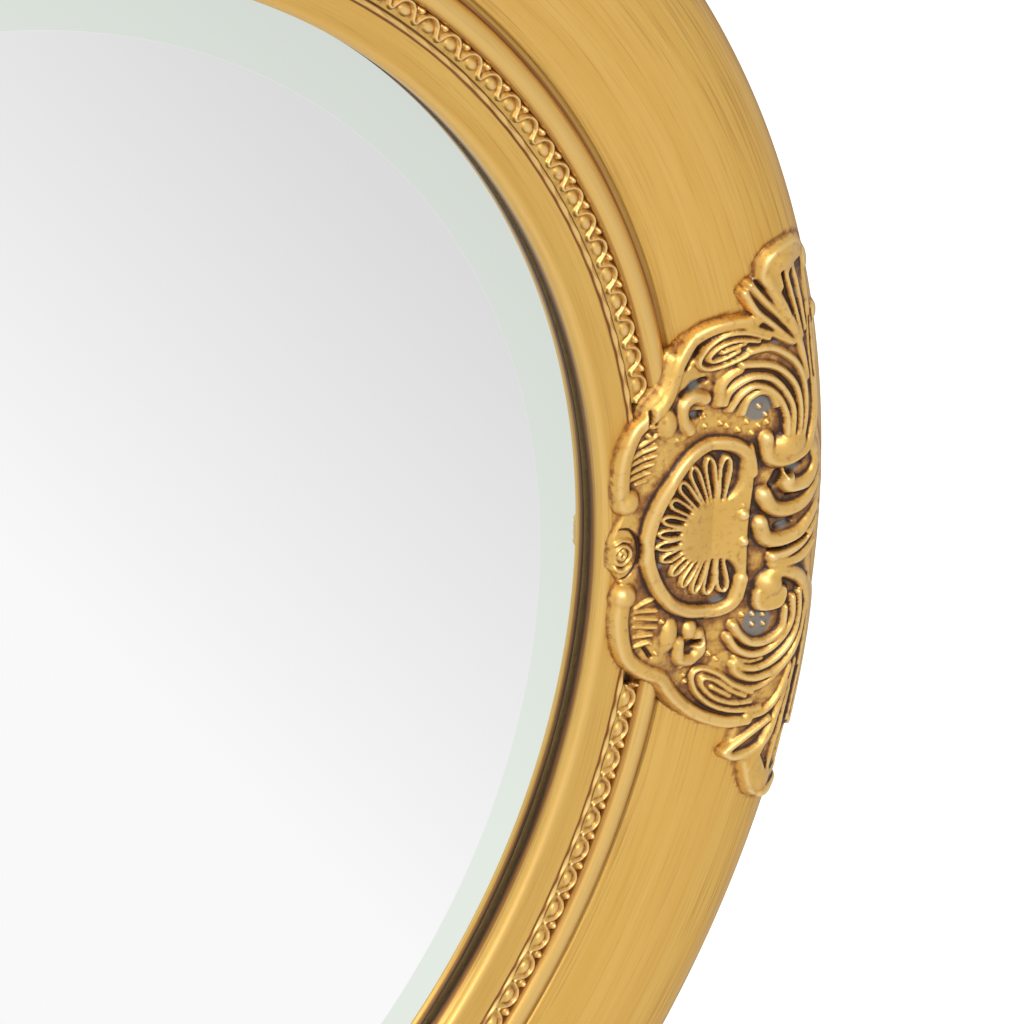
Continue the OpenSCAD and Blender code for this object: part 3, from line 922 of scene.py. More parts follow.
@dataclass(frozen=True)
class CarvedBand:
    """The strips of oval beads under a running wave, in the channel of the inner ring."""

    mouldings: Mouldings
    strips: int = 4
    beads: int = 28
    pitch_angle: float = 2.4
    side_gap: float = 0.15
    base: float = 17.41
    thickness: float = 1.3
    bead_at: float = 2.4
    bead_half: Point = (2.7, 1.8)
    bead_height: float = 2.3
    wave_half_width: float = 0.5
    wave_height: float = 2.4
    nub_at: float = 4.5
    nub_half: Point = (1.25, 0.95)
    nub_height: float = 2.9
    columns: int = 34
    rows: int = 34
    soft_cells: float = 0.9
    shade_cells: float = 3.0
    # Share of glaze and painted shade in the hollows.
    glaze_and_shade_share: float = 0.8
    # Painted highlight on the high parts, partly rubbed wear, rises between these heights.
    rub_and_highlight_heights: Point = (1.7, 2.5)
    half_wave: Path = ((0.0, 4.85), (0.15, 4.6), (0.28, 3.8), (0.37, 2.5), (0.43, 1.5), (0.5, 1.2))

    def one_bead(self) -> tuple[np.ndarray, np.ndarray, np.ndarray, np.ndarray]:
        """Work out the relief of one bead with its wave.

        Returns:
            Places along the pitch, places across the band, the height above the base, and the glaze with
            painted shade in the hollows.
        """
        r_mid = (self.mouldings.r_band_in + self.mouldings.r_band_out) / 2
        pitch = math.radians(self.pitch_angle) * r_mid
        along = (np.arange(self.columns) / self.columns - 0.5) * pitch
        width = self.mouldings.r_band_out - self.mouldings.r_band_in - 2 * self.side_gap
        across = np.linspace(0, width, self.rows)
        s, t = np.meshgrid(along, across, indexing="ij")
        wave = [(-p, q) for p, q in self.half_wave[:0:-1]] + list(self.half_wave)
        gap = polyline_distance(np.array([(p * pitch, q) for p, q in wave]), s, t)[0]
        ridge = (self.wave_height - self.thickness) * dome(gap / self.wave_half_width)
        height = self.thickness + ridge
        bumps = (
            (0.0, self.bead_at, self.bead_half, self.bead_height),
            (-pitch / 2, self.nub_at, self.nub_half, self.nub_height),
            (pitch / 2, self.nub_at, self.nub_half, self.nub_height),
        )
        for x, y, half, top in bumps:
            place = np.hypot((s - x) / half[0], (t - y) / half[1])
            height = np.maximum(height, top * dome(place))
        tripled = np.concatenate([height] * 3)
        soft, wide = (
            blurred(tripled, cells)[self.columns : 2 * self.columns]
            for cells in (self.soft_cells, self.shade_cells)
        )
        # Glaze and painted shade where the relief lies lower than its surroundings.
        return along / pitch + 0.5, across, soft, self.glaze_and_shade_share * ease(wide - soft, -0.05, 0.7)

    def build(self, gold: Material) -> None:
        """Build the four strips over their CAD nodes.

        Args:
            gold: Their finish.
        """
        share, across, height, glaze_and_shade = self.one_bead()
        places = np.concatenate([share + k for k in range(self.beads)] + [[self.beads]])
        height, glaze_and_shade = (
            np.concatenate([part] * self.beads + [part[:1]]) for part in (height, glaze_and_shade)
        )
        # Glaze with painted shade in the hollows, and rubbed wear with painted highlight on the high
        # parts.
        grids = {
            "glaze_and_shade": glaze_and_shade,
            "rub_and_highlight": ease(height, *self.rub_and_highlight_heights),
            "bare": np.zeros_like(height),
        }
        keep = np.ones((len(places) - 1, len(across) - 1), dtype=bool)
        radius = self.mouldings.r_band_in + self.side_gap + across[None, :]
        for k in range(1, self.strips + 1):
            start = math.radians(90 * k - 45 - self.beads * self.pitch_angle / 2)
            angle = start + np.radians(self.pitch_angle) * places[:, None]
            top = ring_points(radius, angle, self.base + height)
            bottom = ring_points(radius, angle, np.full_like(height, self.base))
            points, faces, origin = relief_solid(top, bottom, keep)
            marks = {name: values.ravel()[origin] for name, values in grids.items()}
            strip = make_piece(f"carved_band_{k}", points, faces, (gold,), marks=marks)
            place_piece(strip, f"bead_strip_{k}")


def polyline_distance(
    line: np.ndarray, x: np.ndarray, y: np.ndarray
) -> tuple[np.ndarray, np.ndarray]:
    """Measure how far each place is from a line of points.

    Args:
        line: Points of the line.
        x: First coordinates of the places.
        y: Second coordinates of the places.

    Returns:
        The distance and the share of the line's length at the nearest point.
    """
    lengths = np.linalg.norm(np.diff(line, axis=0), axis=1)
    total = max(lengths.sum(), 1e-6)
    best = np.full(x.shape, 1e9)
    share = np.zeros(x.shape)
    done = 0.0
    for start, end, length in zip(line[:-1], line[1:], lengths):
        direction = (end - start) / max(length, 1e-6)
        along = np.clip((x - start[0]) * direction[0] + (y - start[1]) * direction[1], 0, length)
        gap = np.hypot(x - start[0] - along * direction[0], y - start[1] - along * direction[1])
        nearer = gap < best
        best = np.where(nearer, gap, best)
        share = np.where(nearer, (done + along) / total, share)
        done += length
    return best, share


def smooth_path(points: Path, closed: bool = False) -> np.ndarray:
    """Draw a smooth line through points, with six stretches between two of them.

    Args:
        points: The points, in order.
        closed: Whether the line returns to its start.

    Returns:
        The line's points.
    """
    given = np.array(points, dtype=float)
    count = len(given)
    line = []
    for i in range(count if closed else count - 1):
        picks = [(i + k) % count if closed else min(max(i + k, 0), count - 1) for k in (-1, 0, 1, 2)]
        p0, p1, p2, p3 = given[picks]
        bend = 2 * p0 - 5 * p1 + 4 * p2 - p3
        twist = 3 * p1 - p0 - 3 * p2 + p3
        for t in np.arange(6) / 6:
            line.append(0.5 * (2 * p1 + (p2 - p0) * t + bend * t**2 + twist * t**3))
    line.append(given[0] if closed else given[-1])
    return np.array(line)


class Section(Enum):
    """Shape of a carved stroke across its width."""

    ROUND = "half round"
    FLAT = "flat with round edges"


@dataclass(frozen=True)
class Stroke:
    """A carved stroke: its path, and its width and height from the start to the end."""

    path: Path
    width: Point
    height: Point
    section: Section = Section.ROUND
    closed: bool = False


@dataclass(frozen=True)
class Boss:
    """A carved oval: its centre, half-sizes round the frame and across it, and height."""

    centre: Point
    half: Point
    height: float


@dataclass(frozen=True)
class Pad:
    """A raised area inside an outline, with a soft edge."""

    outline: Path
    level: float
    soft: float = 1.0


@dataclass(frozen=True)
class Hollow:
    """A cut down to a level along a line of points."""

    path: Path
    width: float
    level: float = 0.3


# The forms of an ornament, drawn after the photo. A point is a distance along the frame from the
# ornament's middle and a radius. The forms of the lower half are mirrored to the other side.
Form = Stroke | Boss | Pad | Hollow

UPPER_HALF: tuple[Form, ...] = (
    Pad(((-1, 191.2), (13, 191.2), (24, 190.6), (32, 192.8), (38, 197.6), (42, 202.6), (47.4, 207.6),
        (51.6, 211.4), (54.6, 215.6), (55.8, 221), (55.4, 229), (62, 228.6), (65.4, 230), (66.4, 232.6),
        (70, 236), (70.6, 240), (68.6, 244), (63, 245.6), (52, 244.4), (40, 243.6), (24, 243.4),
        (-1, 243)), 1.4, 0.8),
    Pad(((34, 216), (40, 219), (46, 216), (52, 212), (54, 208.5), (47, 204), (42, 199), (37, 198),
        (30, 203), (28, 209)), 1.7, 2.4),
    Pad(((20, 233), (20, 241.4), (30, 241.8), (40, 240.4), (46, 238), (49, 231), (47, 223), (44, 219),
        (38, 217.6), (34, 219.5), (37, 224), (37, 231), (31, 234), (25, 234)), 1.7, 0.9),
    Stroke(((55, 230.5), (56.6, 223), (56.4, 218), (54.6, 213.8), (51.2, 210.2), (47, 207.6),
        (42.8, 204.6), (39.4, 200.2), (36, 195.8), (30.4, 192.6), (24.4, 191), (18.4, 190.6),
        (15, 191.4)), (3.8, 5), (2.7, 3.3), Section.FLAT),
    Boss((15.5, 192), (4.5, 3.7), 4.2),
    Hollow(((53.8, 221), (52.1, 216), (49.2, 211.6)), 2.2, 0.1),
    Stroke(((52, 243.4), (45, 243), (36, 242.9), (27, 242.8), (21.5, 241.8), (17.5, 239.6), (16, 236),
        (16.4, 232), (18.5, 229.6), (23, 229.4)), (2.2, 4.6), (3.0, 3.8)),
    Boss((19.6, 235.4), (4.4, 6.4), 4.6),
    Boss((48.8, 245.6), (1.8, 2.0), 6.0),
    Boss((62.4, 245.8), (2.6, 2.0), 5.0),
    Stroke(((50, 244.6), (45, 244.3), (38, 243.8)), (1.6, 1.2), (3.3, 2.9)),
    Hollow(((49, 243.2), (42, 242.7), (34, 242.7)), 0.8, 1.0),
    Pad(((62.3, 247.2), (66.8, 246.1), (70, 243.6), (71.4, 240.1), (70.8, 236.6), (68.8, 234),
        (65.3, 232.6), (61.3, 234), (58.8, 236.6), (61.3, 239.1), (63.8, 241.1), (63.8, 243.6)), 3.0,
        2.2),
    Boss((67.2, 240), (4.2, 6.4), 4.0),
    Stroke(((65, 235), (59, 236.4), (51, 238.6), (43, 240.2), (35, 241)), (4.4, 1.8), (3.5, 3.0)),
    Stroke(((65, 239.4), (57, 239.9), (46, 240.8)), (1.3, 1.2), (3.0, 2.9)),
    Stroke(((65, 241.4), (57, 241.8), (47, 241.9)), (1.3, 1.2), (3.0, 2.9)),
    Stroke(((64, 244.6), (58, 244), (51, 243.6)), (2.4, 1.8), (2.9, 2.6)),
    Hollow(((64, 242.8), (58, 242.8), (53, 242.6)), 0.8, 0.9),
    Hollow(((64.6, 238.5), (58, 238.7), (53, 239.2)), 1.0, 0.8),
    Hollow(((65, 232.2), (62, 233.2)), 1.4, 0.3),
    Stroke(((65, 230.6), (59.6, 233.1), (53.6, 236.4), (46.6, 239.4)), (2.5, 1.5), (3.0, 2.8)),
    Stroke(((63.8, 228.6), (57.6, 230.6), (52.6, 234), (45.6, 238.4)), (2.5, 1.5), (3.2, 2.9)),
    Stroke(((21, 238.5), (27, 239.8), (34, 240), (40, 238.5), (44.5, 235.5), (47, 232), (47.6, 227.5)),
        (1.7, 2.0), (3.4, 3.0)),
    Stroke(((22, 237.5), (28, 238.3), (34, 237.8), (39, 235.5), (42.5, 231.5), (44.8, 225)), (1.7, 2.0),
        (3.6, 3.1)),
    Stroke(((23, 236), (29, 236.5), (34, 235), (38.5, 232), (40.7, 228), (40.5, 224.5), (38.5, 221),
        (35.5, 219.6)), (1.7, 2.2), (3.8, 3.3)),
    Stroke(((23, 234.6), (28, 234.8), (33, 233.2), (36.6, 230.4), (38.2, 227), (36.8, 223.6),
        (33.4, 220.8)), (1.6, 2.0), (3.7, 3.2)),
    Stroke(((31, 232.6), (34.6, 231.2), (36, 228.4), (34.8, 225.4), (31.5, 223.8)), (1.4, 2.2),
        (3.0, 3.0)),
    Stroke(((43.4, 224.5), (42.6, 221.8), (40.2, 219.4), (36.2, 218.7)), (2.6, 3.8), (2.8, 3.4)),
    Stroke(((49.5, 232.5), (53, 227.4), (54.2, 222.5), (52.5, 218), (49, 215.3), (46.5, 216.5), (46, 220),
        (47, 226.5)), (1.4, 1.3), (3.0, 3.0)),
    Stroke(((49.6, 230), (51.6, 225.4), (51.6, 221), (49.6, 217.8), (48, 218.4), (48, 221.5), (49, 225)),
        (1.2, 1.1), (2.9, 2.9)),
    Stroke(((50.2, 226.6), (49.8, 221)), (1.1, 1.3), (2.6, 2.9)),
    Stroke(((46.2, 237.6), (51, 232.6), (55.4, 226.4)), (1.5, 1.5), (2.9, 2.7)),
    Hollow(((43.2, 216.4), (43.4, 213), (42.4, 209)), 1.8, 0.5),
    Stroke(((38.4, 215), (40.3, 212), (39.3, 208.9), (35.4, 208.2), (31.4, 210)), (4.2, 4.4), (4.0, 3.6)),
    Hollow(((35, 211.4), (34, 214)), 2.4, 0.4),
    Boss((36, 203.8), (5.6, 3.6), 3.7),
    Hollow(((41.5, 200.2), (37.6, 199.4)), 1.2, 1.0),
    Stroke(((33.6, 200.6), (31.4, 196.8)), (1.3, 1.2), (2.7, 2.3)),
    Stroke(((30.4, 200.4), (29, 195), (28.4, 193.8)), (1.4, 1.3), (2.9, 2.3)),
    Stroke(((27.8, 200.2), (26.8, 193.6)), (1.3, 1.3), (2.9, 2.3)),
    Stroke(((25.3, 199.4), (24.4, 193)), (1.3, 1.3), (2.8, 2.3)),
    Stroke(((22.8, 198.4), (22.2, 193)), (1.3, 1.2), (2.7, 2.3)),
    Stroke(((20.4, 197.4), (20.2, 194.6)), (1.1, 1.0), (2.5, 2.3)),
)

LOWER_HALF: tuple[Form, ...] = (
    Pad(((-1, 191.2), (12, 191.2), (21, 190.8), (28, 192), (34, 194.6), (38.6, 199), (40.6, 204.6),
        (45.6, 209.6), (50, 215), (52.4, 222), (53.4, 229), (60, 229), (64, 233), (69.6, 238),
        (70.6, 242), (67, 245.4), (60, 243.6), (53, 244.8), (40, 244.8), (25, 244.6), (12, 243),
        (-1, 243)), 1.4, 0.8),
    Pad(((28, 216), (35, 218), (41, 214.5), (45, 210.5), (41, 205), (37, 199), (32, 198), (26, 203),
        (24, 209)), 1.6, 2.4),
    Pad(((18, 237), (22, 242), (32, 243), (41, 240.4), (49, 237), (50, 228), (48, 220), (43, 216),
        (37, 219.6), (34, 223), (33.4, 230), (30, 235.4), (24, 236)), 1.7, 0.9),
    Stroke(((52.2, 232), (53.2, 226), (51.6, 218.6), (48, 212.6), (44, 208.2), (40.4, 205), (38.4, 200),
        (34.8, 195.6), (29.4, 193), (22, 191.4), (15.4, 191.6)), (3.8, 5.8), (3.3, 3.3), Section.FLAT),
    Boss((14.6, 192), (4.4, 3.8), 4.2),
    Stroke(((53, 244.6), (44, 244.6), (35, 244.4), (27, 243.9), (20.6, 242.2), (16, 239.6), (13.6, 236),
        (13.4, 232.6), (15.6, 229.6)), (2.2, 4.4), (4.6, 3.6)),
    Boss((16.6, 231.4), (4.6, 4.4), 4.8),
    Stroke(((54, 246.2), (45, 246.5), (36, 246.4), (29, 245.8), (22.6, 244.4), (17.6, 242.4)), (3.0, 3.0),
        (8.0, 3.2)),
    Stroke(((71.2, 241.6), (70.2, 244), (69, 246)), (3.0, 3.2), (4.4, 8.6)),
    Pad(((17, 236), (22.6, 235.4), (23, 228.4), (17, 227.6)), 3.6, 1.4),
    Hollow(((52, 243.4), (46, 243.3), (40.5, 243.6)), 1.5, 0.8),
    Stroke(((56, 242.4), (48, 242), (38, 242.4)), (1.4, 1.4), (3.0, 2.8)),
    Pad(((64, 246), (67, 248), (70.6, 244.6), (72.2, 241.6), (71.6, 238.2), (68, 235.6), (62, 233),
        (59, 236.6), (63, 240), (65.6, 242.2)), 3.0, 2.2),
    Boss((68.2, 241.4), (4.2, 5.4), 4.0),
    Stroke(((65, 236), (59, 237.8), (51, 240), (43, 241)), (3.4, 1.8), (3.3, 2.9)),
    Stroke(((65, 242), (57, 242), (45, 242.4)), (1.2, 1.2), (2.9, 2.8)),
    Stroke(((65.4, 244.8), (59, 244), (55, 244.2)), (1.5, 1.3), (2.9, 2.7)),
    Hollow(((65.4, 243.2), (59, 242.9), (51, 242.8)), 0.9, 0.9),
    Hollow(((63, 240.8), (56, 240.8), (49, 241.2)), 0.9, 0.9),
    Stroke(((52.6, 239.8), (57, 238.8), (60.6, 235.4), (62.2, 231.2), (61.4, 228.4)), (2.0, 2.8),
        (3.2, 3.2)),
    Stroke(((52, 238.2), (55, 235), (58.4, 231.2), (60.8, 228.8)), (1.8, 2.4), (3.0, 3.0)),
    Stroke(((39, 241), (46, 239.2), (50, 236.2), (51.2, 231.6)), (1.6, 2.6), (3.0, 3.2)),
    Stroke(((22, 242.4), (32, 242.2), (38, 238.6), (41, 233), (41, 229), (39.5, 226), (37.4, 225)),
        (1.9, 2.2), (3.5, 3.1)),
    Stroke(((19.5, 239.6), (25, 240.6), (31, 240), (36, 236.5), (38.4, 232), (38.4, 228), (36.6, 225.6)),
        (1.8, 2.1), (3.7, 3.1)),
    Stroke(((20.5, 238), (26, 238.6), (30.4, 237), (33.8, 233.4), (34.8, 229), (33.2, 225), (30, 222.4)),
        (1.9, 2.3), (3.7, 3.3)),
    Stroke(((23, 236.7), (28.5, 236.6), (31.4, 233), (31.8, 229), (29.8, 225.5), (27, 223.4)), (1.6, 3.0),
        (3.3, 3.3)),
    Stroke(((36, 232.6), (36.8, 229), (35.6, 225)), (1.1, 1.1), (2.6, 2.6)),
    Stroke(((37, 239.6), (42, 236), (44, 231.4), (43, 226)), (1.5, 1.5), (2.9, 2.9)),
    Stroke(((49, 235), (50, 228), (49, 222), (46, 217.6), (42.6, 215.6), (40, 215.7), (39, 218),
        (40.4, 222), (43, 226.2), (45, 231.6)), (1.4, 1.4), (3.0, 3.0)),
    Stroke(((47.4, 232), (48, 227), (46.8, 222), (43.8, 218.4), (41.7, 218.3), (42, 221.4), (44.6, 226),
        (46, 230)), (1.2, 1.2), (2.9, 2.9)),
    Stroke(((46.2, 226), (44, 221)), (1.0, 1.2), (2.7, 2.7)),
    Stroke(((29, 214.8), (33.6, 215.8), (36.2, 213.4), (35.2, 209.8), (30.6, 208.8)), (3.8, 4.2),
        (3.8, 3.7)),
    Boss((27.6, 212), (3.4, 2.7), 3.6),
    Hollow(((31, 215), (32.6, 211.4)), 1.8, 0.4),
    Boss((28, 205.6), (6.2, 3.2), 3.5),
    Stroke(((16.6, 199.6), (19, 195.6)), (1.2, 1.1), (2.6, 2.3)),
    Stroke(((20, 201), (20.2, 196)), (1.2, 1.2), (2.7, 2.3)),
    Stroke(((22.6, 201.4), (22.2, 196)), (1.2, 1.2), (2.8, 2.3)),
    Stroke(((25, 201.4), (24.8, 196)), (1.2, 1.2), (2.8, 2.3)),
    Stroke(((27.2, 200.6), (28, 196.4)), (1.2, 1.2), (2.8, 2.3)),
    Stroke(((29.4, 200.2), (31, 197)), (1.2, 1.2), (2.7, 2.3)),
    Hollow(((31.4, 199.6), (34, 201.4)), 1.4, 0.6),
)

MIDDLE: tuple[Form, ...] = (
    Pad(((0, 198.4), (11, 200), (17.4, 203.6), (22, 208.4), (24, 214), (23.4, 220.4), (20, 226),
        (0, 224.8), (-18, 225.2), (-22, 219), (-21.6, 213.4), (-18, 205.6), (-12, 201.2)), 1.5, 0.6),
    Pad(((20, 226.9), (22.6, 224.6), (20, 222.5), (12.6, 221.6), (9.4, 218.4), (9.4, 213), (7.6, 208.4),
        (4, 205.9), (0, 205.2), (-4, 205.9), (-7, 208.4), (-8.6, 213), (-8.6, 218.4), (-11.4, 221.8),
        (-17, 222.4), (-20.4, 223.6), (-18.6, 225.7), (0, 225.2)), 3.2, 3.0),
    Stroke(((15, 225), (20, 224.3), (23.4, 220.8), (24.8, 215.8), (24.1, 211), (21.3, 206.6),
        (16.8, 202.7), (10.8, 199.6), (4.6, 197.8), (-0.6, 197.3), (-6.6, 198.2), (-13.6, 200.9),
        (-18.6, 204.8), (-21.4, 209.4), (-22.6, 214), (-22.6, 218.6), (-20, 222.4), (-14, 223.8)),
        (4.3, 4.3), (3.8, 3.8), Section.FLAT),
    Boss((4, 222.6), (1.7, 1.6), 4.8),
    Boss((6.6, 222.6), (0.6, 0.6), 4.0),
    Boss((-3.5, 223), (1.4, 1.3), 4.6),
    Stroke(((17.4, 241.4), (13.4, 242.6), (9.8, 241.4), (8.2, 238), (9.2, 235.2), (11.4, 234.6)),
        (3.6, 5.0), (3.2, 4.2)),
    Stroke(((7, 243), (3.8, 239.6), (2.7, 235), (4.2, 230.6), (8, 228.2)), (3.4, 5.2), (3.2, 4.2)),
    Stroke(((0.4, 243), (-3.8, 238.4), (-5, 233.2), (-3.6, 229.2), (0.6, 227.4)), (3.4, 5.2), (3.2, 4.2)),
    Stroke(((-3.2, 243.4), (-6.4, 240), (-8.4, 236), (-9.2, 231.6)), (2.6, 3.4), (3.0, 3.6)),
    Stroke(((-8, 243.2), (-10.8, 239), (-11, 232)), (2.6, 3.4), (3.0, 3.4)),
    Hollow(((14.4, 239), (13, 235.4)), 2.6, 0.3),
    Hollow(((12.6, 232.6), (10, 231)), 2.4, 0.1),
    Hollow(((6.6, 239), (6.6, 235)), 1.2, 0.3),
    Hollow(((-0.6, 236.6), (-1.4, 232.4)), 1.8, 0.3),
    Hollow(((-5.6, 240.4), (-7, 235), (-7.2, 231)), 1.2, 0.3),
    Boss((-1, 190.3), (7.6, 4.5), 2.1),
    Hollow(((-9.2, 190), (-8.2, 192.8), (-5, 194.9), (-1, 195.6), (3, 194.9), (6.2, 192.8), (7.2, 190)),
        0.9, 0.2),
    Stroke(((2.4, 190.2), (1.2, 192), (-0.6, 192.7), (-2.6, 192), (-3.6, 190.2), (-2.6, 188.5),
        (-0.6, 187.9), (1.2, 188.5)), (0.9, 0.9), (3.0, 3.0), closed=True),
    Stroke(((0.9, 190.6), (-0.6, 191.2), (-1.9, 190.2), (-0.8, 189.2), (0.4, 189.8)), (0.8, 0.8),
        (2.9, 3.1)),
    Stroke(((2.8, 187.9), (4, 190.2), (2.8, 192.7)), (0.9, 0.9), (2.7, 2.7)),
    Stroke(((-4.2, 187.9), (-5.8, 190.3), (-4.4, 192.8)), (1.5, 1.5), (2.9, 2.9)),
)

PETAL_TIPS: tuple[Point, ...] = (
    (20.5, 219.4), (21.4, 214.9), (20.6, 209.7), (17.4, 205.8), (13, 202.9), (8, 200.9), (3.6, 200),
    (-0.4, 199.6), (-4.6, 200.8), (-9.4, 203.8), (-13.8, 207.4), (-16.6, 211.4), (-17.8, 215.6),
    (-17.2, 219.6),
)

PEARLS: tuple[Point, ...] = (
    (32, 228.2), (29.4, 229.7), (27.2, 230), (26.8, 227.8), (25.3, 226), (28.6, 225), (27, 222.8),
    (28.7, 220.2), (29.9, 218.7), (33, 214.9), (30.2, 215), (36.5, 200.3), (34, 199), (30, 206.3),
    (-24.5, 231), (-27, 231.6), (-24.3, 228.3), (-27, 228.6), (-24.3, 225.6), (-35, 218.8),
    (-36.4, 220.8), (-40.6, 212.8), (-38, 211), (-42.6, 213.8), (-24.6, 216.6), (-30, 200.8),
    (-33, 202.4), (-23.6, 203),
)

BARE_SPOTS: tuple[tuple[Point, float], ...] = (
    ((31.6, 228), 3.9), ((-26.4, 230), 4.2), ((13.8, 237.2), 2.3), ((-1, 234.4), 1.9), ((-6.8, 236), 1.9),
    ((43, 212.6), 2.6), ((64.6, 231.8), 1.8), ((34.4, 212.4), 1.6), ((21.8, 207.4), 2.0), ((23.4, 211.6),
    1.8), ((8, 199.6), 2.4), ((1, 198.9), 2.0), ((-6, 200), 2.2), ((-20, 218.6), 1.8), ((29, 196), 1.4),
    ((-35.6, 230), 1.6), ((61, 238), 1.8), ((57, 242.6), 1.8), ((47, 234), 1.5),
)


@dataclass
class Ornament:
    """A cast scroll ornament with a shield, glued over the mouldings.

    Its relief lies on a grid of distances along the frame and radii. Its middle sits on the circle
    of r_sheet. The lean takes a drawn radius over the roll, and the thinning holds where the relief
    starts to thin out, where it ends and how much it loses. A petal's loop holds shares of the way
    to its tip and distances to the side. The walls say how steeply a stroke and a boss fall for
    their width, and a hollow's wall how far inside and outside its edge it rises, and how high.
    The glaze gathers in creases and on low ground, less so at the verge, the casting's outer edge,
    and it paints the shade of the creases and the low ground too. The rubbed high parts also carry a
    painted highlight.
    """

    mouldings: Mouldings
    pitch: float = 0.25
    reach: float = 76.0
    r_low: float = 184.0
    r_high: float = 252.1
    r_sheet: float = 220.0
    outside: float = -0.7
    least: float = 0.25
    fillet: float = 0.2
    softness: float = 0.27
    skin: float = 0.5
    thinnest: float = 0.05
    bridge: float = 2.1
    thinning: Triple = (238.0, 250.0, 0.82)
    edge_radii: Point = (187.0, 191.0)
    edge_slope: float = 2.2
    pearl_half: float = 0.62
    pearl_height: float = 2.7
    petal_centre: Point = (0.2, 216.6)
    petal_loop: Path = (
        (0.3, -0.35), (0.78, -1.2), (0.93, -1.0), (1.0, 0.0), (0.93, 1.0), (0.78, 1.2), (0.3, 0.35),
    )
    petal_width: float = 0.95
    petal_height: float = 3.3
    lean_from: tuple[float, ...] = (236.0, 240.0, 242.0, 243.0, 244.0, 246.5)
    lean_to: tuple[float, ...] = (236.0, 241.0, 243.6, 245.2, 246.8, 249.5)
    stroke_wall: float = 1.6
    boss_wall: float = 1.3
    flat_sag: float = 0.12
    hollow_wall: Triple = (0.4, 0.6, 6.0)
    compared: Triple = (0.4, 0.8, 2.2)
    # Glaze with painted shade in creases and on low ground.
    crease_depths: Point = (0.02, 0.36)
    crease_glaze_and_shade: float = 0.95
    low_depths: Point = (0.0, 1.0)
    low_glaze_and_shade: float = 0.7
    verge_level: float = -0.2
    verge_spread: float = 0.6
    verge_shares: Point = (0.04, 0.3)
    verge_loss: float = 0.6
    # Rubbed wear with painted highlight on proud high parts.
    rub_and_highlight_proud: Point = (0.08, 0.5)
    rub_and_highlight_heights: Point = (1.8, 3.2)
    bare_below: Point = (2.2, 0.6)
    bare_share: float = 0.9
    # Painted contact shade on the mouldings beside the ornament.
    painted_shade_share: float = 0.9
    painted_shade_most: float = 0.5
    painted_shade_grid: tuple[int, int] = (1152, 250)
    painted_shade_spreads: Point = (0.3, 2.2)
    painted_shade_broad: float = 0.22
    x: np.ndarray = field(init=False)
    r: np.ndarray = field(init=False)
    relief: np.ndarray = field(init=False)

    def __post_init__(self) -> None:
        """Lay out the grid of places along the frame and across it."""
        along = np.arange(-self.reach, self.reach + self.pitch, self.pitch)
        across = np.arange(self.r_low, self.r_high + self.pitch / 2, self.pitch)
        self.x, self.r = np.meshgrid(along, across, indexing="ij")
        self.relief = np.full_like(self.x, self.outside)

    def carve(self) -> None:
        """Raise every form of the ornament in turn, from the broad ones to the fine ones."""
        for forms, side in ((UPPER_HALF, 1), (LOWER_HALF, -1), (MIDDLE, 1)):
            for form in forms:
                self.raise_form(form, side)
        for tip in PETAL_TIPS:
            self.raise_form(self.petal(tip), 1)
        for centre in PEARLS:
            self.raise_form(Boss(centre, (self.pearl_half, self.pearl_half), self.pearl_height), 1)
        start, end = self.edge_radii
        edge = np.where(self.r < end, self.edge_slope * (self.r - start), np.inf)
        self.relief = blurred(np.minimum(self.relief, edge), self.softness / self.pitch)

    def petal(self, tip: Point) -> Stroke:
        """Draw the loop of one petal.

        Args:
            tip: The petal's tip.

        Returns:
            A stroke from the middle of the shield to the tip and back.
        """
        centre = np.array(self.petal_centre)
        out = np.array(tip) - centre
        side = np.array((-out[1], out[0])) / np.linalg.norm(out)
        path = [tuple(centre + out * share + side * offset) for share, offset in self.petal_loop]
        return Stroke(path, (self.petal_width,) * 2, (self.petal_height,) * 2)

    def raise_form(self, form: Form, side: int) -> None:
        """Raise one form.

        Args:
            form: The form.
            side: 1 to leave it on the upper side, or -1 to mirror it to the lower side.
        """
        ways = {
            Stroke: self.raise_stroke,
            Boss: self.raise_boss,
            Pad: self.raise_pad,
            Hollow: self.cut_hollow,
        }
        ways[type(form)](form, side)

    def seated(self, path: Path, side: int) -> list[Point]:
        """Turn a path to its side and lay its outermost points over the roll.

        Args:
            path: The path as it is drawn.
            side: 1, or -1 to mirror it.

        Returns:
            The path on the grid.
        """
        start = self.lean_from[0]
        leaned = [
            float(np.interp(r, self.lean_from, self.lean_to)) if r > start else r for _, r in path
        ]
        return [(side * x, r) for (x, _), r in zip(path, leaned)]

    def window(self, points: np.ndarray, margin: float) -> Window:
        """Find the part of the grid that lies within a margin of some points.

        Args:
            points: The points.
            margin: The margin.

        Returns:
            The grid's rows and columns there.
        """
        slices = []
        for axis, least in enumerate((-self.reach, self.r_low)):
            low = points[:, axis].min() - margin - least
            high = points[:, axis].max() + margin - least
            slices.append(slice(max(0, int(low / self.pitch)), max(0, int(high / self.pitch) + 2)))
        return slices[0], slices[1]

    def merge(self, area: Window, height: np.ndarray) -> None:
        """Join a form to what is there, with a small fillet.

        Args:
            area: The part of the grid that the form touches.
            height: The form's height there.
        """
        present = self.relief[area]
        gap = present - height
        joined = 0.5 * (present + height + np.sqrt(gap**2 + self.fillet**2)) - self.fillet / 4
        self.relief[area] = np.where(height > self.outside, np.maximum(joined, present), present)

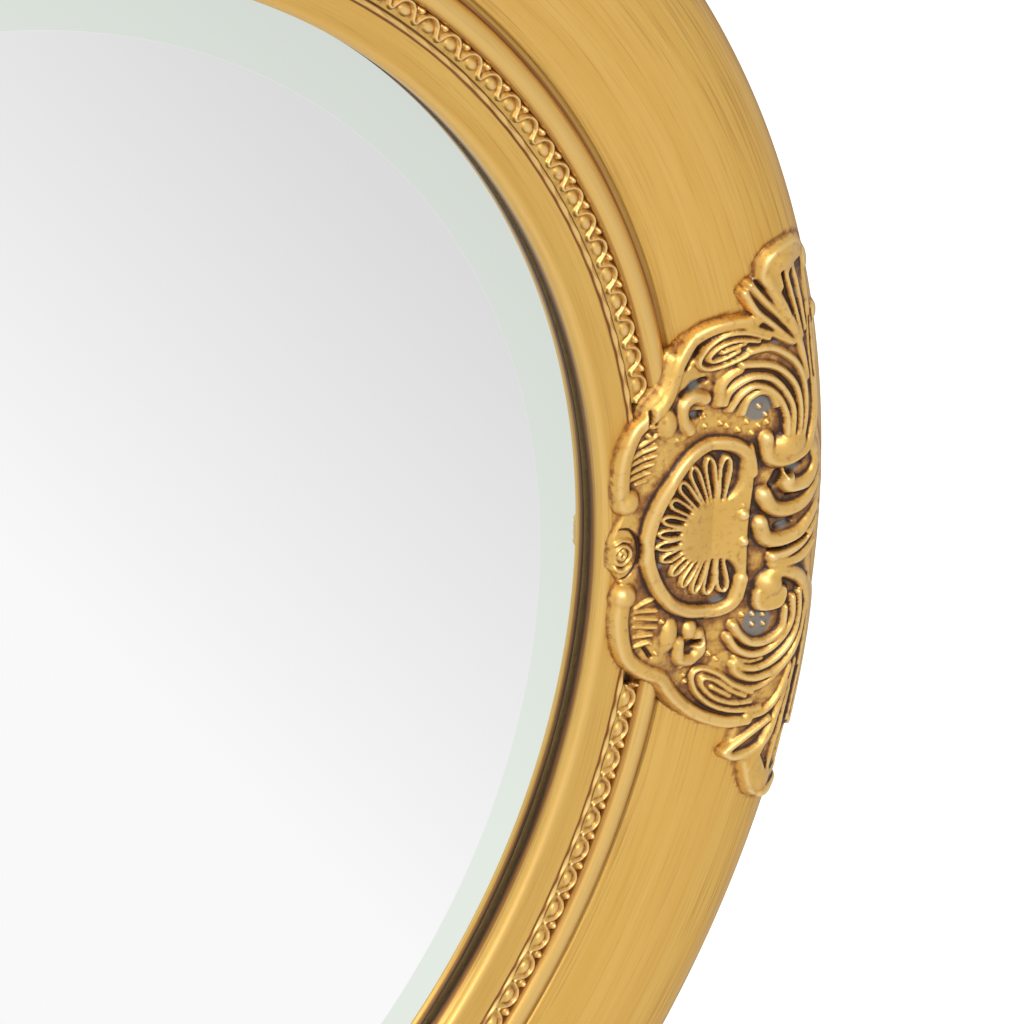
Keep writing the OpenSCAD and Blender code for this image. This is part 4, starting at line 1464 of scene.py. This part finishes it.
    def raise_stroke(self, stroke: Stroke, side: int) -> None:
        """Raise a stroke, with round ends.

        Args:
            stroke: The stroke.
            side: 1, or -1 to mirror it.
        """
        line = smooth_path(self.seated(stroke.path, side), stroke.closed)
        area = self.window(line, max(stroke.width))
        gap, share = polyline_distance(line, self.x[area], self.r[area])
        half = (stroke.width[0] + (stroke.width[1] - stroke.width[0]) * share) / 2
        full = stroke.height[0] + (stroke.height[1] - stroke.height[0]) * share
        place = np.clip(gap / half, 0, 1)
        if stroke.section is Section.FLAT:
            foot = self.outside
            rise = np.sqrt(1 - place**4) * (1 - self.flat_sag * place**2)
        else:
            foot = full - self.stroke_wall * half
            rise = dome(place)
        self.merge(area, np.where(place < 1, foot + (full - foot) * rise, self.outside))

    def raise_boss(self, boss: Boss, side: int) -> None:
        """Raise an oval boss.

        Args:
            boss: The boss.
            side: 1, or -1 to mirror it.
        """
        centre = np.array(self.seated((boss.centre,), side))
        area = self.window(centre, max(boss.half))
        across, out = self.x[area] - centre[0, 0], self.r[area] - centre[0, 1]
        place = np.hypot(across / boss.half[0], out / boss.half[1])
        foot = boss.height - self.boss_wall * min(boss.half)
        height = foot + (boss.height - foot) * dome(place)
        self.merge(area, np.where(place < 1, height, self.outside))

    def raise_pad(self, pad: Pad, side: int) -> None:
        """Raise a pad to its level inside its outline.

        Args:
            pad: The pad.
            side: 1, or -1 to mirror it.
        """
        outline = smooth_path(self.seated(pad.outline, side), closed=True)
        area = self.window(outline, pad.soft)
        x, r = self.x[area], self.r[area]
        gap = polyline_distance(outline, x, r)[0]
        inside = np.zeros(x.shape, dtype=bool)
        for start, end in zip(outline[:-1], outline[1:]):
            crosses = (start[1] > r) != (end[1] > r)
            slope = (end[0] - start[0]) / (end[1] - start[1] + 1e-12)
            inside ^= crosses & (x < start[0] + slope * (r - start[1]))
        rise = ease(np.where(inside, gap, -gap), -pad.soft / 2, pad.soft / 2)
        height = self.outside + (pad.level - self.outside) * rise
        self.relief[area] = np.maximum(self.relief[area], height)

    def cut_hollow(self, hollow: Hollow, side: int) -> None:
        """Cut a hollow into what is there.

        Args:
            hollow: The hollow.
            side: 1, or -1 to mirror it.
        """
        line = smooth_path(self.seated(hollow.path, side))
        area = self.window(line, hollow.width)
        gap = polyline_distance(line, self.x[area], self.r[area])[0]
        half = hollow.width / 2
        inside, outside, depth = self.hollow_wall
        cut = hollow.level + depth * ease(gap, half - inside, half + outside)
        self.relief[area] = np.minimum(self.relief[area], cut)

    def lie(self, radius: np.ndarray, relief: np.ndarray) -> np.ndarray:
        """Lay the relief on the mouldings, bridging their hollows and thinning out over the roll.

        Args:
            radius: Distances from the mirror's axis.
            relief: Heights of the carving.

        Returns:
            Heights in front of the wall.
        """
        m = self.mouldings
        bridged = m.r_bead - self.bridge
        inner = np.interp(
            radius, (m.r_sight, m.r_band_in, bridged), (m.h_step, m.h_band, m.h_bead)
        )
        start, end, loss = self.thinning
        thin = relief * (1 - loss * ease(radius, start, end))
        outer = np.maximum(m.h_bead + thin, m.cushion(radius, thin))
        return np.where(radius < bridged, inner - m.sight_drop(radius) + relief, outer)

    def painted_contact_shade(self) -> np.ndarray:
        """Work out the painted contact shade on the mouldings beside an ornament.

        Returns:
            Painted shade by angle over a quarter turn and by radius between its radii.
        """
        angle = np.linspace(-np.pi / 4, np.pi / 4, self.painted_shade_grid[0])
        radius = np.linspace(*PAINTED_SHADE_RADII, self.painted_shade_grid[1])
        covered = ease(self.relief, -0.5, 0.2)
        close, broad = (blurred(covered, spread / self.pitch) for spread in self.painted_shade_spreads)
        near = np.maximum(close, self.painted_shade_broad * broad)
        rows = np.clip((angle * self.r_sheet + self.reach) / self.pitch, 0, near.shape[0] - 1)
        columns = np.clip((radius - self.r_low) / self.pitch, 0, near.shape[1] - 1)
        picked = near[rows.astype(int)][:, columns.astype(int)]
        picked = np.where(np.abs(angle * self.r_sheet)[:, None] < self.reach, picked, 0)
        return np.clip(picked * self.painted_shade_share, 0, self.painted_shade_most)

    def paint_marks(self) -> dict[str, np.ndarray]:
        """Work out where the glaze and painted shade lie, where the gold is rubbed and carries a painted
        highlight, and where the resin is bare.

        Returns:
            The three marks by name, as grids from 0 to 1.
        """
        solid = np.maximum(self.relief, 0)
        tight, near, wide = (blurred(solid, spread / self.pitch) for spread in self.compared)
        # Creases and low ground: glaze, and painted shade.
        crease = ease(tight - solid, *self.crease_depths)
        low = ease(wide - solid, *self.low_depths)
        beyond = blurred(1.0 * (self.relief < self.verge_level), self.verge_spread / self.pitch)
        verge = ease(beyond, *self.verge_shares)
        glaze_and_shade = np.clip(self.crease_glaze_and_shade * crease + self.low_glaze_and_shade * low, 0, 1)
        # Rubbed wear with painted highlight on the proud high parts.
        rub_and_highlight = ease(self.relief - near, *self.rub_and_highlight_proud) * ease(self.relief, *self.rub_and_highlight_heights)
        bare = np.zeros_like(self.relief)
        for (x, r), size in BARE_SPOTS:
            bare = np.maximum(bare, ease(size - np.hypot(self.x - x, self.r - r), 0, 1.0))
        top, fade = self.bare_below
        ground = ease(top - self.relief, 0, fade) * ease(0.9 - crease, 0, 0.6)
        return {
            "glaze_and_shade": glaze_and_shade * (1 - self.verge_loss * verge),
            "rub_and_highlight": rub_and_highlight,
            "bare": bare * ground * self.bare_share,
        }

    def build(self, gold: Material) -> None:
        """Build the four ornaments over their CAD nodes.

        Args:
            gold: Their finish.
        """
        grids = self.paint_marks()
        ends = (slice(None, -1), slice(1, None))
        corners = [self.relief[rows, columns] for rows in ends for columns in ends]
        keep = np.maximum.reduce(corners) > self.outside + self.least
        high = self.lie(self.r, self.relief)
        low = np.minimum(self.mouldings.face(self.r) - self.skin, high - self.thinnest)
        for turn, place in enumerate(("right", "top", "left", "bottom")):
            angle = self.x / self.r_sheet + turn * np.pi / 2
            top, bottom = (ring_points(self.r, angle, height) for height in (high, low))
            points, faces, origin = relief_solid(top, bottom, keep)
            marks = {name: values.ravel()[origin] for name, values in grids.items()}
            piece = make_piece(f"scroll_ornament_{place}", points, faces, (gold,), marks=marks)
            place_piece(piece, f"ornament_{place}")


@dataclass(frozen=True)
class MirrorGlass:
    """The round mirror: a flat face, a wide ground bevel and a hidden edge."""

    r_glass: float = 190.0
    r_hub: float = 30.0
    bevel_w: float = 18.5
    bevel_drop: float = 1.3
    bevel_image_lean: float = 2.3
    h_back: float = 10.05
    h_front: float = 11.0
    h_face: float = 12.6
    segments: int = 720

    def build(self, finishes: Sequence[Material]) -> None:
        """Build the mirror over its CAD node.

        Args:
            finishes: The finishes of the flat face, the bevel and the edge.
        """
        r_flat = self.r_glass - self.bevel_w
        h_edge = self.h_face - self.bevel_drop
        rings = (
            (self.r_hub, self.h_face, 0),
            (r_flat - 4, self.h_face, 0),
            (r_flat - 0.06, self.h_face, 0),
            (r_flat + 0.06, self.h_face - 0.01, 1),
            (r_flat + 4, self.h_face - self.bevel_drop * 4 / self.bevel_w, 1),
            (self.r_glass - 0.3, h_edge + 0.03, 2),
            (self.r_glass, h_edge - 0.3, 2),
            (self.r_glass, self.h_back, 2),
            (self.r_glass - 1, self.h_back, 2),
            (self.r_hub, self.h_back, 2),
        )
        count = len(rings)
        radius, height, slots = np.array(rings).T
        angle = np.arange(self.segments)[:, None] * 2 * np.pi / self.segments
        points = ring_points(radius, angle, height).reshape(-1, 3)
        centres = np.array([[0, -self.h_face, 0], [0, -self.h_back, 0]]) * MM
        ring = np.arange(0, self.segments, 2)
        fan = [(ring + step) % self.segments * count for step in (0, 1, 2)]
        hub = np.full(len(ring), len(points))
        front = np.stack([hub, *fan], axis=1)
        back = np.stack([hub + 1, *(edge + count - 1 for edge in fan[::-1])], axis=1)
        turned = np.broadcast_to(slots[:-1], (self.segments, count - 1)).ravel()
        glass = make_piece(
            "mirror_plate",
            np.concatenate([points, centres]),
            np.concatenate([ring_quads(self.segments, count), front, back]),
            finishes,
            np.concatenate([turned, np.zeros(len(front)), np.full(len(back), 2)]),
        )
        self.lean_bevel(glass)
        place_piece(glass, "mirror_glass")

    def lean_bevel(self, glass: bpy.types.Object) -> None:
        """Shade the bevel as the wedge of glass over its silvering throws the image, inwards.

        Args:
            glass: The mirror.
        """
        points, normals = (
            np.array([getattr(vertex, name) for vertex in glass.data.vertices])
            for name in ("co", "normal")
        )
        radius = np.maximum(np.hypot(points[:, 0], points[:, 2]), 1e-9)
        front = points[:, 1] < -self.h_front * MM
        on_bevel = front & (radius > (self.r_glass - self.bevel_w) * MM)
        tilt = np.where(on_bevel, math.sin(math.radians(self.bevel_image_lean)), 0.0)
        inward = -tilt / radius
        leaning = [inward * points[:, 0], -np.sqrt(1 - tilt**2), inward * points[:, 2]]
        normals[front] = np.stack(leaning, axis=1)[front]
        glass.data.normals_split_custom_set_from_vertices(normals.tolist())


@dataclass(frozen=True)
class PanHeadScrews:
    """Wood screws with a domed pan head and a cross recess, seen from behind."""

    head_r: float = 2.8
    head_h: float = 1.4
    shank_r: float = 1.5
    shank_l: float = 9.0
    tip_l: float = 3.0
    recess_reach: float = 1.55
    recess_half: float = 0.32
    recess_depth: float = 0.75
    segments: int = 48

    def screw(self, centre: Point, underside: float) -> tuple[np.ndarray, np.ndarray]:
        """Make one screw.

        Args:
            centre: Its place on the back, in X and Z.
            underside: Height of the underside of its head.

        Returns:
            Points in metres and quads.
        """
        radii = np.array([0.12, 0.3, 0.5, 0.75, 1.0, 1.25, 1.5, 1.7, 2.0, 2.35, 2.65, self.head_r])
        crown = self.head_h * np.sqrt(1 - (radii / (self.head_r * 1.02)) ** 4) * 0.98
        rings = [(r, underside - h) for r, h in zip(radii, crown)]
        rings += [
            (self.head_r, underside - 0.05),
            (self.head_r - 0.05, underside),
            (self.shank_r + 0.05, underside),
            (self.shank_r, underside + 0.05),
            (self.shank_r, underside + self.shank_l - self.tip_l),
            (self.shank_r * 0.2, underside + self.shank_l),
        ]
        count = len(rings)
        radius, height = np.array(rings).T
        angle = np.arange(self.segments)[:, None] * 2 * np.pi / self.segments
        x, z = radius * np.cos(angle), radius * np.sin(angle)
        arm = np.minimum(np.abs(x), np.abs(z))
        far = np.maximum(np.abs(x), np.abs(z))
        within = 1 - ease(arm, self.recess_half * 0.7, self.recess_half * 1.3)
        within = within * (1 - ease(far, self.recess_reach * 0.85, self.recess_reach * 1.05))
        on_head = np.arange(count) < len(radii)
        h = height + np.where(on_head, within * self.recess_depth, 0)
        points = np.stack([x + centre[0], -h, z + centre[1]], axis=-1) * MM
        caps = []
        for column, flip in ((0, False), (count - 1, True)):
            loop = np.arange(self.segments) * count + column
            order = loop[::-1] if flip else loop
            for k in range(self.segments // 2 - 1):
                caps.append([order[k], order[k + 1], order[-k - 2], order[-k - 1]])
        sides = ring_quads(self.segments, count)[:, [0, 3, 2, 1]]
        return points.reshape(-1, 3), np.concatenate([sides, np.array(caps)])

    def group(
        self, name: str, places: Iterable[Point], underside: float, finish: Material, node: str
    ) -> None:
        """Build a group of screws over its CAD node.

        Args:
            name: The piece's name.
            places: The screws' places on the back, in X and Z.
            underside: Height of the underside of their heads.
            finish: Their plating.
            node: The CAD node that they stand for.
        """
        screws = [self.screw(place, underside) for place in places]
        points = np.concatenate([own for own, _ in screws])
        faces = [own + k * len(screws[0][0]) for k, (_, own) in enumerate(screws)]
        piece = make_piece(name, points, np.concatenate(faces), (finish,))
        place_piece(piece, node)


@dataclass(frozen=True)
class BackFittings:
    """The board, its foam and turn buttons, and the two D-ring hangers."""

    nodes: Mapping[str, bpy.types.Object]
    buttons: int = 6
    button_r: float = 206.0
    button_head: float = 3.2
    hanger_x: float = 194.403
    hanger_screws: Point = (70.352, 62.352)
    hanger_head: float = 4.2
    board_edge: float = 0.3
    button_edge: float = 0.18
    plate_edge: float = 0.12

    def dress(self, name: str, finish: Material, soften: float = 0.0) -> None:
        """Give a CAD node its finish and break its sharp edges.

        Args:
            name: The node.
            finish: Its material.
            soften: Width of the broken edge in millimetres, or 0 for none.
        """
        node = self.nodes[name]
        node.data.materials.clear()
        node.data.materials.append(finish)
        if soften > 0:
            bevel = node.modifiers.new("broken_edge", "BEVEL")
            bevel.width = soften * MM
            bevel.segments = 2
            bevel.limit_method = "ANGLE"
            bevel.angle_limit = math.radians(40)
        LOG.info("%s: keeps its CAD shape", name)

    def build(self, board: Material, foam: Material, zinc: Material, brass: Material) -> None:
        """Dress the fittings and build their screws.

        Args:
            board: The finish of the backing board.
            foam: The finish of the pad.
            zinc: The plating of the hangers and of all screws.
            brass: The plating of the turn buttons.
        """
        self.dress("backing_board", board, self.board_edge)
        self.dress("foam_pad", foam)
        for k in range(1, self.buttons + 1):
            self.dress(f"turn_button_{k}", brass, self.button_edge)
        for side in ("right", "left"):
            self.dress(f"hanger_plate_{side}", zinc, self.plate_edge)
            self.dress(f"hanger_ring_{side}", zinc)
        screws = PanHeadScrews()
        turns = [math.tau * k / self.buttons for k in range(self.buttons)]
        places = [(self.button_r * math.cos(t), self.button_r * math.sin(t)) for t in turns]
        screws.group("button_screw_set", places, self.button_head, zinc, "button_screws")
        sides = [(side * self.hanger_x, z) for side in (1, -1) for z in self.hanger_screws]
        screws.group("hanger_screw_set", sides, self.hanger_head, zinc, "hanger_screws")


@dataclass(frozen=True)
class Softbox:
    """A square lamp: its place and the point it faces in metres, its power in watts and its side."""

    name: str
    at: Triple
    aim: Triple
    power: float
    size: float = 0.9

    def hang(self) -> None:
        """Add the lamp to the scene."""
        data = bpy.data.lights.new(self.name, "AREA")
        data.shape = "SQUARE"
        data.size = self.size
        data.energy = self.power
        lamp = bpy.data.objects.new(self.name, data)
        lamp.location = self.at
        facing = Vector(self.aim) - Vector(self.at)
        lamp.rotation_euler = facing.to_track_quat("-Z", "Y").to_euler()
        bpy.context.scene.collection.objects.link(lamp)


@dataclass(frozen=True)
class Fade:
    """A change of the room's colour along a direction, from a start to an end."""

    axis: Triple
    start: float
    end: float
    colour: str


@dataclass(frozen=True)
class Studio:
    """The camera of the photograph, soft studio light and a pale floor. Lengths are metres."""

    camera_at: Triple = (-0.4134, -0.7810, 0.5183)
    camera_turn: Triple = (62.382, -1.024, -36.327)
    lens: float = 158.2
    floor_z: float = -0.62
    floor_size: float = 9.0
    floor_colour: str = "#EDEDEC"
    floor_glow: float = 0.6
    ambient: float = 0.45
    bright: str = "#FAFAFA"
    fades: tuple[Fade, ...] = (
        Fade((0.7548, 0.1481, 0.6391), -0.087, 0.03, "#DCDCDC"),
        Fade((0.7548, 0.1481, 0.6391), 0.05, 0.13, "#EAEAEA"),
        Fade((0.0, 1.0, 0.0), 0.0, 0.5, "#A09078"),
    )
    lamps: tuple[Softbox, ...] = (
        Softbox("key_softbox", (-1.0, -1.3, 1.3), (0.15, 0, 0), 26.0),
        Softbox("back_softbox", (0.7, 1.7, 1.1), (0, 0, 0), 16.0),
    )

    def camera(self) -> None:
        """Set up the camera at the photograph's viewing angle."""
        data = bpy.data.cameras.new("camera")
        data.lens = self.lens
        data.sensor_width = 36.0
        data.clip_start = 0.05
        data.clip_end = 50.0
        camera = bpy.data.objects.new("camera", data)
        camera.location = self.camera_at
        camera.rotation_euler = Euler([math.radians(turn) for turn in self.camera_turn])
        bpy.context.scene.collection.objects.link(camera)
        bpy.context.scene.camera = camera

    def world(self) -> None:
        """Light the room evenly, white to the camera and softly shaded in reflections."""
        world = bpy.data.worlds.new("studio")
        world.use_nodes = True
        tree = world.node_tree
        tree.nodes.clear()
        bpy.context.scene.world = world
        path = add_node(tree, "ShaderNodeLightPath").outputs
        direction = add_node(tree, "ShaderNodeTexCoord").outputs["Generated"]
        shaded = linear(self.bright)
        for fade in self.fades:
            sides = {0: direction, 1: fade.axis}
            along = add_node(tree, "ShaderNodeVectorMath", sides, operation="DOT_PRODUCT")
            span = {"Value": along.outputs["Value"], "From Min": fade.start, "From Max": fade.end}
            share = add_node(tree, "ShaderNodeMapRange", span).outputs["Result"]
            blend = {0: share, 6: shaded, 7: linear(fade.colour)}
            shaded = add_node(tree, "ShaderNodeMix", blend, data_type="RGBA").outputs[2]
        even, glossy, white = (
            add_node(tree, "ShaderNodeBackground", {"Color": colour, "Strength": strength}).outputs[0]
            for colour, strength in (
                (linear(WHITE), self.ambient), (shaded, 1.0), (linear(WHITE), 1.0),
            )
        )
        lit = {0: path["Is Glossy Ray"], 1: even, 2: glossy}
        lit = add_node(tree, "ShaderNodeMixShader", lit).outputs[0]
        clear = {0: path["Is Camera Ray"], 1: path["Is Transmission Ray"]}
        clear = add_node(tree, "ShaderNodeMath", clear, operation="MAXIMUM").outputs[0]
        final = add_node(tree, "ShaderNodeMixShader", {0: clear, 1: lit, 2: white}).outputs[0]
        add_node(tree, "ShaderNodeOutputWorld", {"Surface": final})

    def floor(self) -> None:
        """Lay a plain pale floor that shows white to the camera and keeps the shadow."""
        material, tree = new_material("studio_floor")
        path = add_node(tree, "ShaderNodeLightPath").outputs
        paint = {"Color": linear(self.floor_colour)}
        matt = add_node(tree, "ShaderNodeBsdfDiffuse", paint).outputs[0]
        glow = {"Color": linear(WHITE), "Strength": self.floor_glow}
        glow = add_node(tree, "ShaderNodeEmission", glow).outputs[0]
        lit = add_node(tree, "ShaderNodeAddShader", {0: matt, 1: glow}).outputs[0]
        seen = {0: path["Is Camera Ray"], 1: matt, 2: lit}
        shader = add_node(tree, "ShaderNodeMixShader", seen).outputs[0]
        add_node(tree, "ShaderNodeOutputMaterial", {"Surface": shader})
        half = self.floor_size / 2
        corners = [(-half, -half), (half, -half), (half, half), (-half, half)]
        mesh = bpy.data.meshes.new("floor")
        mesh.from_pydata([(x, y, self.floor_z) for x, y in corners], [], [(0, 1, 2, 3)])
        mesh.materials.append(material)
        floor = bpy.data.objects.new("floor", mesh)
        floor.visible_glossy = False
        bpy.context.scene.collection.objects.link(floor)

    def build(self) -> None:
        """Set up the whole studio, its camera first."""
        self.camera()
        self.world()
        for lamp in self.lamps:
            lamp.hang()
        self.floor()
        bpy.context.scene.view_settings.view_transform = "Standard"


def main() -> None:
    """Build the mirror and its studio."""
    logging.basicConfig(level=logging.INFO, format="%(name)s: %(message)s")
    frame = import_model()
    Studio().build()

    brushed = AntiqueGold("brushed_gold_paint", Brushing.ALONG, lacquer=0.25).material()
    dabbed = AntiqueGold(
        "dabbed_gold_paint", Brushing.DABBED, stroke_depth=0.3, raggedness=0.95
    ).material()
    fibreboard = GrainedBoard("bare_fibreboard", "#A8845A", "#8A6742").material()
    hardboard = GrainedBoard("hardboard", "#7D5A38", "#5E4027", fibre_width=0.6).material()
    foam = CellFoam("polyethylene_foam").material()
    zinc = PlatedSteel("zinc_plated_steel", "#C9CCCE", "#A9ADB0").material()
    brass = PlatedSteel("brassed_steel", "#D9B66A", "#B78F45").material()
    silvered = [
        SilveredGlass(f"silvered_float_glass_{part}", colour, roughness).material()
        for part, colour, roughness in (
            ("flat", "#FEFEFE", 0.0), ("bevel", "#E9F0E8", 0.015), ("edge", "#6F8F7C", 0.35),
        )
    ]

    mouldings = Mouldings()
    ornament = Ornament(mouldings)
    ornament.carve()
    # The ornaments' painted contact shade is laid onto the mouldings.
    mouldings.build(brushed, fibreboard, ornament.painted_contact_shade())
    CarvedBand(mouldings).build(dabbed)
    ornament.build(dabbed)
    MirrorGlass().build(silvered)
    BackFittings(frame["nodes"]).build(hardboard, foam, zinc, brass)


if __name__ == "__main__":
    main()
